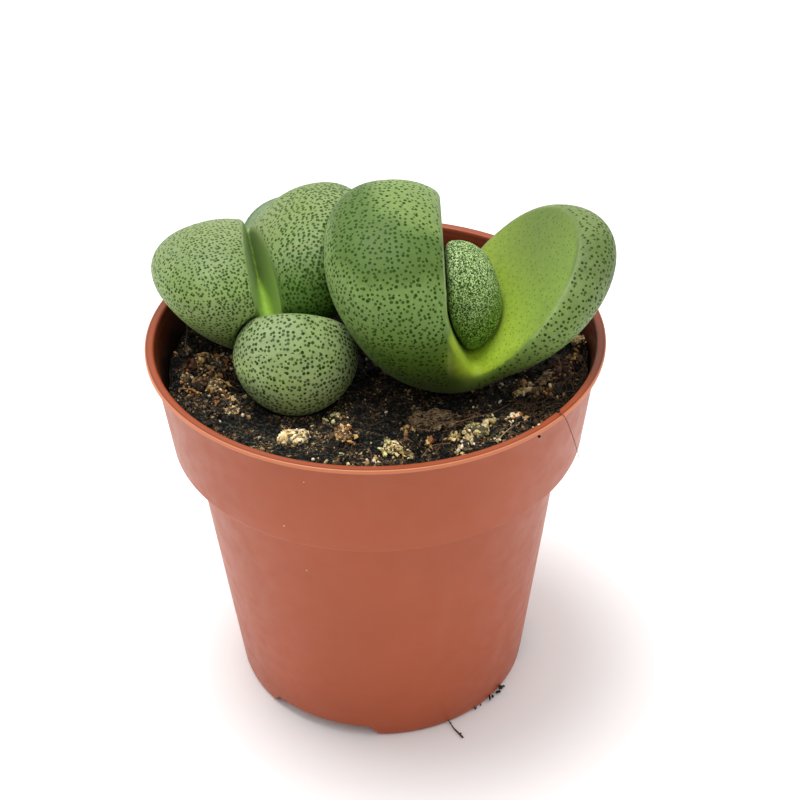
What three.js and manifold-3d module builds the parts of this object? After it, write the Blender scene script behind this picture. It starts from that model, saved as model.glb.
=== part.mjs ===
import * as THREE from "three";
import { mergeVertices } from "three/addons/utils/BufferGeometryUtils.js";
import Module from "manifold-3d";

// A split rock plant in a small plastic nursery pot.
// Millimetres, +Z up, origin on the pot's axis at the level that its foot ring stands on.

const wasm = await Module();
wasm.setup();

// Pot: a thin moulded shell
const RIM_RADIUS = 42.5;
const POT_HEIGHT = 77.0;
const WALL = 0.9;
const LIP_THICKNESS = 0.8;
const LIP_INNER_RADIUS = 40.9;
const COLLAR_TOP_RADIUS = 41.3;
const COLLAR_FOOT_RADIUS = 39.1;
const COLLAR_HEIGHT = 19.7;
const BODY_TOP_RADIUS = 35.5;
const BODY_FOOT_RADIUS = 29.5;
const FOOT_RADIUS = 29.0;
const FOOT_WALL = 1.4;
const FOOT_HEIGHT = 3.0;
const FLOOR_HEIGHT = FOOT_HEIGHT + WALL;
const POT_SEGMENTS = 64;
const LEDGE_ROUNDING = 1.1;
const INNER_CORNER = 0.6;
const EDGE_SOFTENING = 0.4;

// Foot ring notches, which reach up to the underside of the floor, and drain holes
const NOTCH_COUNT = 3;
const NOTCH_FIRST_ANGLE = -115.6;
const NOTCH_HALF_ANGLE_TOP = 20;
const NOTCH_HALF_ANGLE_FOOT = 23;
const DRAIN_COUNT = 6;
const DRAIN_RADIUS = 2.4;
const DRAIN_CIRCLE = 19;
const DRAIN_FIRST_ANGLE = 4.4;

// Clearance between neighbouring pieces
const CLEARANCE = 0.3;
const GROWN_CLEARANCE = 0.36;

// Soil
const SOIL_LEVEL = 68.2;
const SOIL_RISE = 3.6;
const SOIL_RISE_FROM = 20;
const SOIL_RISE_TO = 38;
const SOIL_RINGS = 12;
const SOIL_SEGMENTS = 48;

// The soil's uneven top is a sum of waves: the longest is also the highest.
const SOIL_SEED = 87109;
const SOIL_WAVES = 9;
const SOIL_WAVE_HEIGHT = 0.45;
const SOIL_WAVE_FADE = 0.25;
const SOIL_WAVE_FREQUENCY = 0.16;
const SOIL_WAVE_STEP = 0.07;

// Leaves. "at" is the middle of the flat inner face. "heading" is the compass direction of the rounded back,
// counted from +X, "lean" how far the leaf leans outwards and "roll" its turn in the plane of its flat face,
// all in degrees. A leaf is a rounded body cut by its flat face: "inset" is how far behind the face the
// middle of the body lies, and "flare" how fast that middle moves back with height. "face", where given, is
// how far back the face is set in its middle, and how much further back it runs for each mm along the width.
const LEAVES = {
  upright: {
    at: [12.5, -3.5, 91.2], heading: 179.3, lean: 2.4, roll: 14.1,
    halfWidth: 18.2, halfDepth: 13.6, inset: 6.4, flare: 0.3, rise: 14, drop: 22, power: 2.34,
  },
  leaning: {
    at: [24.9, -3.3, 88.1], heading: 11.6, lean: 39, roll: -18.2,
    halfWidth: 16.4, halfDepth: 9.4, inset: 2.1, flare: 0.14, rise: 19.3, drop: 25.5, power: 1.95,
  },
  youngFront: {
    at: [15.3, -1.5, 88.6], heading: -81.4, lean: 13.1, roll: -17.8,
    halfWidth: 6.6, halfDepth: 8.9, inset: 3.1, flare: -0.1, rise: 10.3, drop: 13.2, power: 2.18,
  },
  youngBack: {
    at: [16, 0.3, 85.4], heading: 98.6, lean: -7.6, roll: 17.5,
    halfWidth: 6.3, halfDepth: 6, inset: 2, flare: 0, rise: 7, drop: 14, power: 2.2,
  },
  leftHand: {
    at: [-22, 9.5, 85.9], heading: -162.8, lean: 8.9, roll: -2.4, face: [0.8, -0.19],
    halfWidth: 14.3, halfDepth: 13, inset: 5.5, flare: 0.37, rise: 8.8, drop: 16.2, power: 2.24,
  },
  rightHand: {
    at: [-20.9, 9.8, 86.2], heading: 16.8, lean: 0.6, roll: 7.8,
    halfWidth: 16.9, halfDepth: 11.4, inset: 7.8, flare: 0.5, rise: 12.2, drop: 16.1, power: 2.15,
  },
  lowFront: {
    at: [-14.3, -1.9, 79.5], heading: -94, lean: 39.5, roll: 5.5,
    halfWidth: 11.4, halfDepth: 10.8, inset: 6, flare: -0.05, rise: 9.8, drop: 10.4, power: 1.88,
  },
  lowBack: {
    at: [-14.2, 19.1, 82.9], heading: 94.7, lean: 51, roll: -6.8,
    halfWidth: 12.1, halfDepth: 7.1, inset: 2.3, flare: -0.05, rise: 12.3, drop: 14, power: 2.26,
  },
};
const LEAF_SEGMENTS = 32;
const LEAF_BACK_ROWS = 9;
const LEAF_FACE_ROWS = 2;
const LEAF_BODY_ROWS = 14;
const FARTHEST = 90;

// Fused bases: rounded bodies that join the two leaves of a pair under the cleft
const BASES = {
  rightOuter: { at: [18, -4, 78], size: [9, 9, 7] },
  leftInner: { at: [-20.5, 8, 74], size: [7, 8, 6] },
  leftOuter: { at: [-15.5, 6, 69.5], size: [8, 7, 4.5] },
};

// The floor of the right head's cleft: a plane through the crease, the upright leaf's rim and a line that
// climbs towards the front.
const SADDLE = { crease: [16.4, -16.4, 79.6], rim: [12.4, -19.8, 87.6], climb: [0, -0.95, 0.3] };
const SADDLE_REACH = 120;

// Rootstock: a forked stem in the soil with a tap root
const STEM_FORK = [0, 2, 57];
const STEM_TOPS = [[13.5, -2, 70], [-15.5, 6, 69]];
const STEM_RADIUS = 3.2;
const TAP_ROOT_DEPTH = 34;

// Mineral lumps and bark flakes on the soil: place, size, turn about the vertical in degrees
const LUMPS = [
  { name: "mineral_lump_cream", at: [-14.3, -21.6], size: [3.6, 2.6, 1.9], turn: -12, color: 0xdccaa0 },
  { name: "mineral_lump_front", at: [2.3, -25.2], size: [2.3, 1.7, 1.4], turn: 30, color: 0xa8854f },
  { name: "mineral_lump_golden_1", at: [17.4, -21.4], size: [2.5, 1.6, 1.4], turn: 20, color: 0xc39a55 },
  { name: "mineral_lump_golden_2", at: [-6, -22], size: [1.9, 1.5, 1.2], turn: -30, color: 0xb98d4e },
  { name: "mineral_lump_left_1", at: [-32.4, 2.4], size: [2.2, 1.7, 1.5], turn: 10, color: 0xc9a566 },
  { name: "mineral_lump_left_2", at: [-35.2, -2.4], size: [1.8, 1.6, 1.3], turn: 60, color: 0xa67c48 },
  { name: "mineral_lump_left_3", at: [-29.6, -5.4], size: [2, 1.6, 1.3], turn: -20, color: 0x8a6238 },
  { name: "mineral_lump_left_4", at: [-26.4, -12.4], size: [1.8, 1.3, 1.2], turn: 15, color: 0xb8904f },
  { name: "mineral_lump_right", at: [37, 2.4], size: [1.7, 1.5, 1.4], turn: 0, color: 0xc09453 },
];
const FLAKES = [
  { name: "bark_flake_middle", at: [10, -17], length: 10.5, width: 5.4, turn: 6, tilt: 9 },
  { name: "bark_flake_right", at: [31.6, -8.6], length: 6.4, width: 3.6, turn: 42, tilt: -12 },
];
const FLAKE_THICKNESS = 1.1;
const FLAKE_CORNERS = 9;
const FLAKE_RAGGEDNESS = 0.16;
const FLAKE_STEP = 3.7;
const FLAKE_RAISE = 0.45;
const LUMP_RAISE = 0.35;
const LUMP_SIDE_WAVE = { push: 0.16, x: 4.1, y: 3.3 };
const LUMP_TOP_WAVE = { push: 0.12, z: 5.2 };

// Colours, roughness
const POT_LOOK = { color: 0xa8573c, roughness: 0.45, metalness: 0 };
const SOIL_LOOK = { color: 0x231c19, roughness: 0.95, metalness: 0 };
const OLD_LEAF_LOOK = { color: 0x7f9a62, roughness: 0.5, metalness: 0 };
const PALE_LEAF_LOOK = { color: 0x93ab7e, roughness: 0.5, metalness: 0 };
const YOUNG_LEAF_LOOK = { color: 0x6c8d55, roughness: 0.55, metalness: 0 };
const ROOT_LOOK = { color: 0x8a6b4a, roughness: 0.85, metalness: 0 };
const BARK_LOOK = { color: 0x5b3d2c, roughness: 0.9, metalness: 0 };
const LUMP_ROUGHNESS = 0.85;

const radians = THREE.MathUtils.degToRad;

// Turns a closed geometry into a solid for cutting and joining.
function solid(geometry) {
  const bare = geometry.clone();
  bare.deleteAttribute("normal");
  bare.deleteAttribute("uv");
  const merged = mergeVertices(bare, 1e-4);
  return new wasm.Manifold(
    new wasm.Mesh({
      numProp: 3,
      vertProperties: new Float32Array(merged.attributes.position.array),
      triVerts: new Uint32Array(merged.index.array),
    }),
  );
}

// The largest body of a solid, as a geometry.
function geometryOf(shape) {
  const bodies = shape.decompose();
  const largest = bodies.reduce((best, body) => (body.volume() > best.volume() ? body : best));
  const mesh = largest.getMesh();
  const geometry = new THREE.BufferGeometry();
  geometry.setAttribute("position", new THREE.BufferAttribute(new Float32Array(mesh.vertProperties), 3));
  geometry.setIndex(new THREE.BufferAttribute(new Uint32Array(mesh.triVerts), 1));
  geometry.computeVertexNormals();
  return geometry;
}

function joined(shapes) {
  return shapes.reduce((all, shape) => all.add(shape));
}

function named(name, geometry, look) {
  const mesh = new THREE.Mesh(geometry, new THREE.MeshStandardMaterial(look));
  mesh.name = name;
  return mesh;
}

// The largest t in 0..far for which inside(t) holds, for a body that the ray leaves once.
function reach(inside, far) {
  let near = 0;
  for (let i = 0; i < 40; i++) {
    const middle = (near + far) / 2;
    if (inside(middle)) near = middle;
    else far = middle;
  }
  return near;
}

// Pot

function potProfile() {
  const collarFoot = POT_HEIGHT - LIP_THICKNESS - COLLAR_HEIGHT;
  const ledge = new THREE.Path();
  ledge.moveTo(BODY_TOP_RADIUS, collarFoot - LEDGE_ROUNDING);
  ledge.quadraticCurveTo(BODY_TOP_RADIUS, collarFoot, BODY_TOP_RADIUS + LEDGE_ROUNDING, collarFoot);
  const edge = EDGE_SOFTENING;
  const lipUnderside = POT_HEIGHT - LIP_THICKNESS;
  return [
    new THREE.Vector2(0, FOOT_HEIGHT),
    new THREE.Vector2(FOOT_RADIUS - FOOT_WALL - edge, FOOT_HEIGHT),
    new THREE.Vector2(FOOT_RADIUS - FOOT_WALL, 0),
    new THREE.Vector2(FOOT_RADIUS, 0),
    new THREE.Vector2(BODY_FOOT_RADIUS, 1),
    ...ledge.getPoints(3),
    new THREE.Vector2(COLLAR_FOOT_RADIUS - edge, collarFoot),
    new THREE.Vector2(COLLAR_FOOT_RADIUS, collarFoot + edge),
    new THREE.Vector2(COLLAR_TOP_RADIUS, lipUnderside - edge / 2),
    new THREE.Vector2(RIM_RADIUS, lipUnderside),
    new THREE.Vector2(RIM_RADIUS, POT_HEIGHT - edge / 2),
    new THREE.Vector2(RIM_RADIUS - edge, POT_HEIGHT),
    new THREE.Vector2(LIP_INNER_RADIUS, POT_HEIGHT - edge / 4),
    new THREE.Vector2(COLLAR_TOP_RADIUS - WALL, lipUnderside - 2 * edge),
    new THREE.Vector2(COLLAR_FOOT_RADIUS - WALL, collarFoot + WALL),
    new THREE.Vector2(BODY_TOP_RADIUS - WALL, collarFoot + WALL - LEDGE_ROUNDING),
    new THREE.Vector2(BODY_FOOT_RADIUS - WALL, FLOOR_HEIGHT + INNER_CORNER),
    new THREE.Vector2(BODY_FOOT_RADIUS - WALL - INNER_CORNER, FLOOR_HEIGHT),
    new THREE.Vector2(0, FLOOR_HEIGHT),
  ];
}

// A wedge through the foot ring, narrower at its top.
function notchCutter(angle) {
  const far = FOOT_RADIUS + 4 * FOOT_WALL;
  const near = FOOT_RADIUS - 4 * FOOT_WALL;
  const under = -FOOT_WALL;
  const shape = new THREE.Shape();
  const halfFoot = far * Math.tan(radians(NOTCH_HALF_ANGLE_FOOT));
  const halfTop = far * Math.tan(radians(NOTCH_HALF_ANGLE_TOP));
  shape.moveTo(-halfFoot, under);
  shape.lineTo(halfFoot, under);
  shape.lineTo(halfTop, FOOT_HEIGHT);
  shape.lineTo(-halfTop, FOOT_HEIGHT);
  const cutter = new THREE.ExtrudeGeometry(shape, { depth: far - near, bevelEnabled: false });
  const position = cutter.getAttribute("position");
  for (let i = 0; i < position.count; i++) {
    const radius = near + position.getZ(i);
    const across = (position.getX(i) * radius) / far;
    position.setXYZ(i, radius, across, position.getY(i));
  }
  cutter.rotateZ(radians(angle));
  return solid(cutter);
}

function drainCutter(angle, circle) {
  const cutter = new THREE.CylinderGeometry(DRAIN_RADIUS, DRAIN_RADIUS, 3 * WALL, 20);
  cutter.rotateX(Math.PI / 2);
  cutter.translate(circle, 0, FLOOR_HEIGHT - WALL / 2);
  cutter.rotateZ(radians(angle));
  return solid(cutter);
}

function potShape() {
  const shell = new THREE.LatheGeometry(potProfile(), POT_SEGMENTS);
  shell.rotateX(Math.PI / 2);
  let pot = solid(shell);
  for (let i = 0; i < NOTCH_COUNT; i++) {
    pot = pot.subtract(notchCutter(NOTCH_FIRST_ANGLE + (360 / NOTCH_COUNT) * i));
  }
  pot = pot.subtract(drainCutter(0, 0));
  for (let i = 0; i < DRAIN_COUNT; i++) {
    pot = pot.subtract(drainCutter(DRAIN_FIRST_ANGLE + (360 / DRAIN_COUNT) * i, DRAIN_CIRCLE));
  }
  return pot;
}

// Leaves

function leafAxes(leaf) {
  const heading = radians(leaf.heading);
  const lean = radians(leaf.lean);
  const outward = new THREE.Vector3(Math.cos(heading), Math.sin(heading), 0);
  const up = new THREE.Vector3(0, 0, 1);
  const back = outward.clone().multiplyScalar(Math.cos(lean)).addScaledVector(up, -Math.sin(lean));
  const long = outward.clone().multiplyScalar(Math.sin(lean)).addScaledVector(up, Math.cos(lean));
  const wide = new THREE.Vector3().crossVectors(back, long);
  const turn = new THREE.Quaternion().setFromAxisAngle(back, -radians(leaf.roll));
  return { wide: wide.applyQuaternion(turn), back, long: long.applyQuaternion(turn) };
}

// Under 1 inside the leaf's rounded body. x is along its width, y behind its flat face, z along its length.
function bodyValue(leaf, grow, x, y, z) {
  const length = (z > 0 ? leaf.rise : leaf.drop) + grow;
  const middle = leaf.inset + leaf.flare * z;
  return (
    Math.abs(x / (leaf.halfWidth + grow)) ** leaf.power +
    Math.abs((y - middle) / (leaf.halfDepth + grow)) ** leaf.power +
    Math.abs(z / length) ** leaf.power
  );
}

// Where a ray from the middle of a leaf's body leaves it. "polar" is counted from the front, 0 to pi.
function bodyPoint(leaf, grow, sideways, polar) {
  const ray = sideways.clone().multiplyScalar(Math.sin(polar)).setY(-Math.cos(polar));
  const inside = (t) => bodyValue(leaf, grow, t * ray.x, leaf.inset + t * ray.y, t * ray.z) < 1;
  return new THREE.Vector3(0, leaf.inset, 0).addScaledVector(ray, reach(inside, FARTHEST));
}

// A leaf's whole rounded body, not cut by its flat face.
function bodyShape(leaf, grow) {
  const geometry = new THREE.SphereGeometry(1, LEAF_SEGMENTS, LEAF_BODY_ROWS);
  const position = geometry.getAttribute("position");
  const { wide, back, long } = leafAxes(leaf);
  const frame = new THREE.Matrix4().makeBasis(wide, back, long).setPosition(...leaf.at);
  for (let column = 0; column <= LEAF_SEGMENTS; column++) {
    const angle = ((column % LEAF_SEGMENTS) / LEAF_SEGMENTS) * 2 * Math.PI;
    const sideways = new THREE.Vector3(Math.cos(angle), 0, Math.sin(angle));
    for (let row = 0; row <= LEAF_BODY_ROWS; row++) {
      const point = bodyPoint(leaf, grow, sideways, (Math.PI * row) / LEAF_BODY_ROWS);
      point.applyMatrix4(frame);
      position.setXYZ(row * (LEAF_SEGMENTS + 1) + column, point.x, point.y, point.z);
    }
  }
  return solid(geometry);
}

// A leaf as a closed solid: rings from the middle of the flat face out to its edge, then round the back.
function leafShape(leaf, grow = 0) {
  const rows = LEAF_FACE_ROWS + LEAF_BACK_ROWS;
  const geometry = new THREE.SphereGeometry(1, LEAF_SEGMENTS, rows);
  const position = geometry.getAttribute("position");
  const centre = new THREE.Vector3(0, leaf.inset, 0);
  const { wide, back, long } = leafAxes(leaf);
  const frame = new THREE.Matrix4().makeBasis(wide, back, long).setPosition(...leaf.at);
  const [setBack, turn] = leaf.face ?? [0, 0];
  for (let column = 0; column <= LEAF_SEGMENTS; column++) {
    const angle = ((column % LEAF_SEGMENTS) / LEAF_SEGMENTS) * 2 * Math.PI;
    const sideways = new THREE.Vector3(Math.cos(angle), 0, Math.sin(angle));
    const depth = (t) => setBack + turn * t * sideways.x - grow;
    const onFace = (t) => bodyValue(leaf, grow, t * sideways.x, depth(t), t * sideways.z) < 1;
    const edgeRadius = reach(onFace, FARTHEST);
    const edge = sideways.clone().multiplyScalar(edgeRadius).setY(depth(edgeRadius));
    const toEdge = edge.clone().sub(centre).normalize();
    const tilt = Math.acos(-toEdge.y);
    for (let row = 0; row <= rows; row++) {
      const point = new THREE.Vector3();
      if (row <= LEAF_FACE_ROWS) {
        const radius = (edgeRadius * row) / LEAF_FACE_ROWS;
        point.copy(sideways).multiplyScalar(radius).setY(depth(radius));
      } else {
        const polar = tilt + ((Math.PI - tilt) * (row - LEAF_FACE_ROWS)) / LEAF_BACK_ROWS;
        point.copy(bodyPoint(leaf, grow, sideways, polar));
      }
      point.applyMatrix4(frame);
      position.setXYZ(row * (LEAF_SEGMENTS + 1) + column, point.x, point.y, point.z);
    }
  }
  return solid(geometry);
}

function baseShape(base, grow = 0) {
  const geometry = new THREE.SphereGeometry(1, 28, 14);
  geometry.scale(base.size[0] + grow, base.size[1] + grow, base.size[2] + grow);
  geometry.translate(...base.at);
  return solid(geometry);
}

// A pair of leaves grown together at the base.
function pairShape(first, second, base, grow = 0) {
  const pieces = [leafShape(first, grow), leafShape(second, grow)];
  if (base) pieces.push(baseShape(base, grow));
  return joined(pieces);
}

// The space in front of a plane, as a block.
function frontOf(at, normal, grow) {
  const block = new THREE.BoxGeometry(SADDLE_REACH, SADDLE_REACH, SADDLE_REACH);
  block.translate(0, 0, -SADDLE_REACH / 2 - grow);
  block.applyQuaternion(new THREE.Quaternion().setFromUnitVectors(new THREE.Vector3(0, 0, 1), normal));
  block.translate(...at);
  return solid(block);
}

// A pair with a deep cleft: both bodies and the base, less the wedge between the two flat faces and the saddle.
function saddledPairShape(first, second, base, saddle, grow = 0) {
  const crease = new THREE.Vector3(...saddle.crease);
  const alongRim = crease.clone().sub(new THREE.Vector3(...saddle.rim)).normalize();
  const saddleNormal = alongRim.cross(new THREE.Vector3(...saddle.climb)).normalize();
  const wedge = frontOf(first.at, leafAxes(first).back, grow)
    .intersect(frontOf(second.at, leafAxes(second).back, grow))
    .intersect(frontOf(saddle.crease, saddleNormal, grow));
  return joined([bodyShape(first, grow), bodyShape(second, grow), baseShape(base, grow)]).subtract(wedge);
}

// Rootstock

function stemShape(points, radius, grow = 0) {
  const section = new THREE.Shape();
  section.absarc(0, 0, radius + grow, 0, 2 * Math.PI);
  const path = new THREE.CatmullRomCurve3(points.map((p) => new THREE.Vector3(...p)));
  return solid(
    new THREE.ExtrudeGeometry(section, { steps: 10, curveSegments: 6, extrudePath: path, bevelEnabled: false }),
  );
}

function rootstockShape(grow = 0) {
  const [x, y, z] = STEM_FORK;
  const branches = STEM_TOPS.map((top) =>
    stemShape([[x, y, z - 4], [(x + 2 * top[0]) / 3, (y + 2 * top[1]) / 3, z + 4], top], STEM_RADIUS, grow),
  );
  const tapRoot = new THREE.ConeGeometry(STEM_RADIUS * 1.5 + grow, TAP_ROOT_DEPTH + grow, 14, 6);
  tapRoot.rotateX(-Math.PI / 2);
  tapRoot.translate(x, y, z + 2 - TAP_ROOT_DEPTH / 2 + grow / 2);
  return joined([...branches, solid(tapRoot)]);
}

// Soil

// A repeatable stream of numbers in 0..1.
function seeded(seed) {
  let state = seed;
  return () => {
    state = (state * 16807) % 2147483647;
    return state / 2147483647;
  };
}

// Waves in all directions that add up to uneven ground.
const soilRandom = seeded(SOIL_SEED);
const soilWaves = Array.from({ length: SOIL_WAVES }, (_, i) => {
  const direction = soilRandom() * 2 * Math.PI;
  const frequency = SOIL_WAVE_FREQUENCY + SOIL_WAVE_STEP * i;
  return {
    kx: Math.cos(direction) * frequency,
    ky: Math.sin(direction) * frequency,
    phase: soilRandom() * 2 * Math.PI,
    height: SOIL_WAVE_HEIGHT / (1 + SOIL_WAVE_FADE * i),
  };
});

function soilHeight(x, y) {
  const rise = SOIL_RISE * THREE.MathUtils.smoothstep(x, SOIL_RISE_FROM, SOIL_RISE_TO);
  const bumps = soilWaves.reduce((sum, w) => sum + w.height * Math.sin(w.kx * x + w.ky * y + w.phase), 0);
  return SOIL_LEVEL + rise + bumps;
}

// The inner radius of the pot at a height above the ledge.
function innerRadius(z) {
  const foot = POT_HEIGHT - LIP_THICKNESS - COLLAR_HEIGHT + WALL;
  const top = POT_HEIGHT - LIP_THICKNESS - 2 * EDGE_SOFTENING;
  const share = (z - foot) / (top - foot);
  return COLLAR_FOOT_RADIUS - WALL + share * (COLLAR_TOP_RADIUS - COLLAR_FOOT_RADIUS);
}

function soilShape() {
  const collarFoot = POT_HEIGHT - LIP_THICKNESS - COLLAR_HEIGHT;
  const bottom = FLOOR_HEIGHT + CLEARANCE;
  const top = SOIL_LEVEL - 1;
  const outline = [
    new THREE.Vector2(0, bottom),
    new THREE.Vector2(BODY_FOOT_RADIUS - WALL - INNER_CORNER - CLEARANCE, bottom),
    new THREE.Vector2(BODY_FOOT_RADIUS - WALL - CLEARANCE, bottom + INNER_CORNER),
    new THREE.Vector2(BODY_TOP_RADIUS - WALL - 1.2 * CLEARANCE, collarFoot + WALL - LEDGE_ROUNDING),
    new THREE.Vector2(COLLAR_FOOT_RADIUS - WALL - 1.6 * CLEARANCE, collarFoot + WALL + 1.2 * CLEARANCE),
  ];
  for (let ring = SOIL_RINGS; ring > 0; ring--) {
    outline.push(new THREE.Vector2((ring / SOIL_RINGS) * innerRadius(top), top));
  }
  outline.push(new THREE.Vector2(0, top));
  const geometry = new THREE.LatheGeometry(outline, SOIL_SEGMENTS);
  geometry.rotateX(Math.PI / 2);
  const position = geometry.getAttribute("position");
  for (let i = 0; i < position.count; i++) {
    if (position.getZ(i) < top - 1e-3) continue;
    const [x, y] = [position.getX(i), position.getY(i)];
    const z = soilHeight(x, y);
    const radius = Math.hypot(x, y);
    const limit = innerRadius(z) - 1.4 * CLEARANCE;
    const inward = Math.min(1, limit / Math.max(radius, 1e-6));
    position.setXYZ(i, x * inward, y * inward, z);
  }
  return solid(geometry);
}

// Lumps and flakes

// An uneven stone: a ball whose surface is pushed in and out by a formula of the direction.
function lumpShape(lump, seed, grow = 0) {
  const geometry = new THREE.IcosahedronGeometry(1, 1);
  const position = geometry.getAttribute("position");
  for (let i = 0; i < position.count; i++) {
    const p = new THREE.Vector3().fromBufferAttribute(position, i);
    const [side, top] = [LUMP_SIDE_WAVE, LUMP_TOP_WAVE];
    const sidePush = side.push * Math.sin(side.x * p.x + seed) * Math.cos(side.y * p.y - seed);
    const topPush = top.push * Math.sin(top.z * p.z + 2 * seed);
    p.multiplyScalar(1 + sidePush + topPush).multiply(new THREE.Vector3(...lump.size).addScalar(grow));
    position.setXYZ(i, p.x, p.y, p.z);
  }
  geometry.rotateZ(radians(lump.turn));
  const [x, y] = lump.at;
  geometry.translate(x, y, soilHeight(x, y) + LUMP_RAISE * lump.size[2]);
  return solid(geometry);
}

// A torn piece of bark lying on the soil.
function flakeShape(flake, grow = 0) {
  const shape = new THREE.Shape();
  for (let i = 0; i < FLAKE_CORNERS; i++) {
    const angle = (i / FLAKE_CORNERS) * 2 * Math.PI;
    const ragged = 1 + FLAKE_RAGGEDNESS * Math.sin(FLAKE_STEP * i + flake.length);
    const x = (flake.length / 2 + grow) * ragged * Math.cos(angle);
    const y = (flake.width / 2 + grow) * ragged * Math.sin(angle);
    if (i === 0) shape.moveTo(x, y);
    else shape.lineTo(x, y);
  }
  const thickness = FLAKE_THICKNESS + 2 * grow;
  const geometry = new THREE.ExtrudeGeometry(shape, { depth: thickness, bevelEnabled: false });
  geometry.translate(0, 0, -thickness / 2);
  geometry.rotateX(radians(flake.tilt));
  geometry.rotateZ(radians(flake.turn));
  const [x, y] = flake.at;
  geometry.translate(x, y, soilHeight(x, y) + FLAKE_THICKNESS * FLAKE_RAISE);
  return solid(geometry);
}

// Assembly

const pairs = {
  right_head_outer_pair: (grow) =>
    saddledPairShape(LEAVES.upright, LEAVES.leaning, BASES.rightOuter, SADDLE, grow),
  right_head_inner_pair: (grow) => pairShape(LEAVES.youngFront, LEAVES.youngBack, null, grow),
  left_head_outer_pair: (grow) => pairShape(LEAVES.lowFront, LEAVES.lowBack, BASES.leftOuter, grow),
  left_head_inner_pair: (grow) => pairShape(LEAVES.leftHand, LEAVES.rightHand, BASES.leftInner, grow),
};
const around = Object.fromEntries(Object.entries(pairs).map(([name, make]) => [name, make(GROWN_CLEARANCE)]));

// The young pairs sit in the clefts of the old ones, pressed flat where they touch.
const rightOuter = pairs.right_head_outer_pair(0);
const rightInner = pairs.right_head_inner_pair(0).subtract(around.right_head_outer_pair);
const leftOuter = pairs.left_head_outer_pair(0).subtract(around.right_head_outer_pair);
const leftInner = pairs.left_head_inner_pair(0)
  .subtract(around.left_head_outer_pair)
  .subtract(around.right_head_outer_pair);

const lumps = LUMPS.map((lump, i) => ({ ...lump, seed: 1.7 * i + 0.4 }));
const heads = joined(Object.values(around));
const rootstock = rootstockShape(0).subtract(heads);
let soil = soilShape().subtract(heads).subtract(rootstockShape(CLEARANCE));
for (const lump of lumps) soil = soil.subtract(lumpShape(lump, lump.seed, CLEARANCE));
for (const flake of FLAKES) soil = soil.subtract(flakeShape(flake, CLEARANCE));

const group = new THREE.Group();
group.add(named("pot", geometryOf(potShape()), POT_LOOK));
group.add(named("soil", geometryOf(soil), SOIL_LOOK));
for (const lump of lumps) {
  const look = { color: lump.color, roughness: LUMP_ROUGHNESS, metalness: 0 };
  group.add(named(lump.name, geometryOf(lumpShape(lump, lump.seed).subtract(heads)), look));
}
for (const flake of FLAKES) {
  group.add(named(flake.name, geometryOf(flakeShape(flake).subtract(heads)), BARK_LOOK));
}

const plant = new THREE.Group();
plant.add(named("rootstock", geometryOf(rootstock), ROOT_LOOK));
plant.add(named("right_head_outer_pair", geometryOf(rightOuter), OLD_LEAF_LOOK));
plant.add(named("right_head_inner_pair", geometryOf(rightInner), YOUNG_LEAF_LOOK));
plant.add(named("left_head_outer_pair", geometryOf(leftOuter), PALE_LEAF_LOOK));
plant.add(named("left_head_inner_pair", geometryOf(leftInner), OLD_LEAF_LOOK));
group.add(plant);

export default group;
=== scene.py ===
import math

import bmesh
import bpy
import numpy as np
from mathutils import Matrix, Vector


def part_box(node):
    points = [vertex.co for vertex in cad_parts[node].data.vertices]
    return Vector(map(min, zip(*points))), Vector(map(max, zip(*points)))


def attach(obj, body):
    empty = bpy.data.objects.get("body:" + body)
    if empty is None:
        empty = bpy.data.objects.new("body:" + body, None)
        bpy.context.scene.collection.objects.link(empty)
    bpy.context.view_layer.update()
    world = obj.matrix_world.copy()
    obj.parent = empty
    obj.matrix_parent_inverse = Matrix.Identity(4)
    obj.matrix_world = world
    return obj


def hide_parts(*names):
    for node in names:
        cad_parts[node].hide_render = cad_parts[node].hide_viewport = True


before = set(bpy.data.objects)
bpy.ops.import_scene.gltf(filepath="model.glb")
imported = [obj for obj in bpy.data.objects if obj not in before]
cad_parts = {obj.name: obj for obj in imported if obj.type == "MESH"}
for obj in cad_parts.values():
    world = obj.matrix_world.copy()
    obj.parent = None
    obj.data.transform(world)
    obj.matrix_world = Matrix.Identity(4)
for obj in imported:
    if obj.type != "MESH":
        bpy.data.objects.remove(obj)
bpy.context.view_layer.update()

# A split rock plant in a small nursery pot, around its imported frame.
# Shapes are worked out in millimetres, as in the frame's source, and written to Blender in metres.

MM = 0.001
TURN = 2 * math.pi

# Camera, worked out from the rim, collar and foot curves of the photograph
CAMERA_PLACE = (0.0, -240.706, 232.529)
CAMERA_PITCH = 0.6194
CAMERA_YAW = 0.0135
CAMERA_ROLL = -0.0164
CAMERA_LENS = 69.535
SENSOR = 36.0

# Pot
RIM_RADIUS = 42.5
POT_HEIGHT = 77.0
WALL = 0.9
LIP_THICKNESS = 0.8
LIP_INNER_RADIUS = 40.9
COLLAR_TOP_RADIUS = 41.3
COLLAR_FOOT_RADIUS = 39.1
COLLAR_HEIGHT = 19.7
BODY_TOP_RADIUS = 35.5
BODY_FOOT_RADIUS = 29.5
FOOT_RADIUS = 29.0
FOOT_WALL = 1.4
FOOT_HEIGHT = 3.0
FLOOR_HEIGHT = FOOT_HEIGHT + WALL
NOTCH_COUNT = 3
NOTCH_FIRST_ANGLE = math.radians(-115.6)
DRAIN_COUNT = 6
DRAIN_RADIUS = 2.4
DRAIN_CIRCLE = 19
DRAIN_FIRST_ANGLE = math.radians(4.4)

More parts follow.
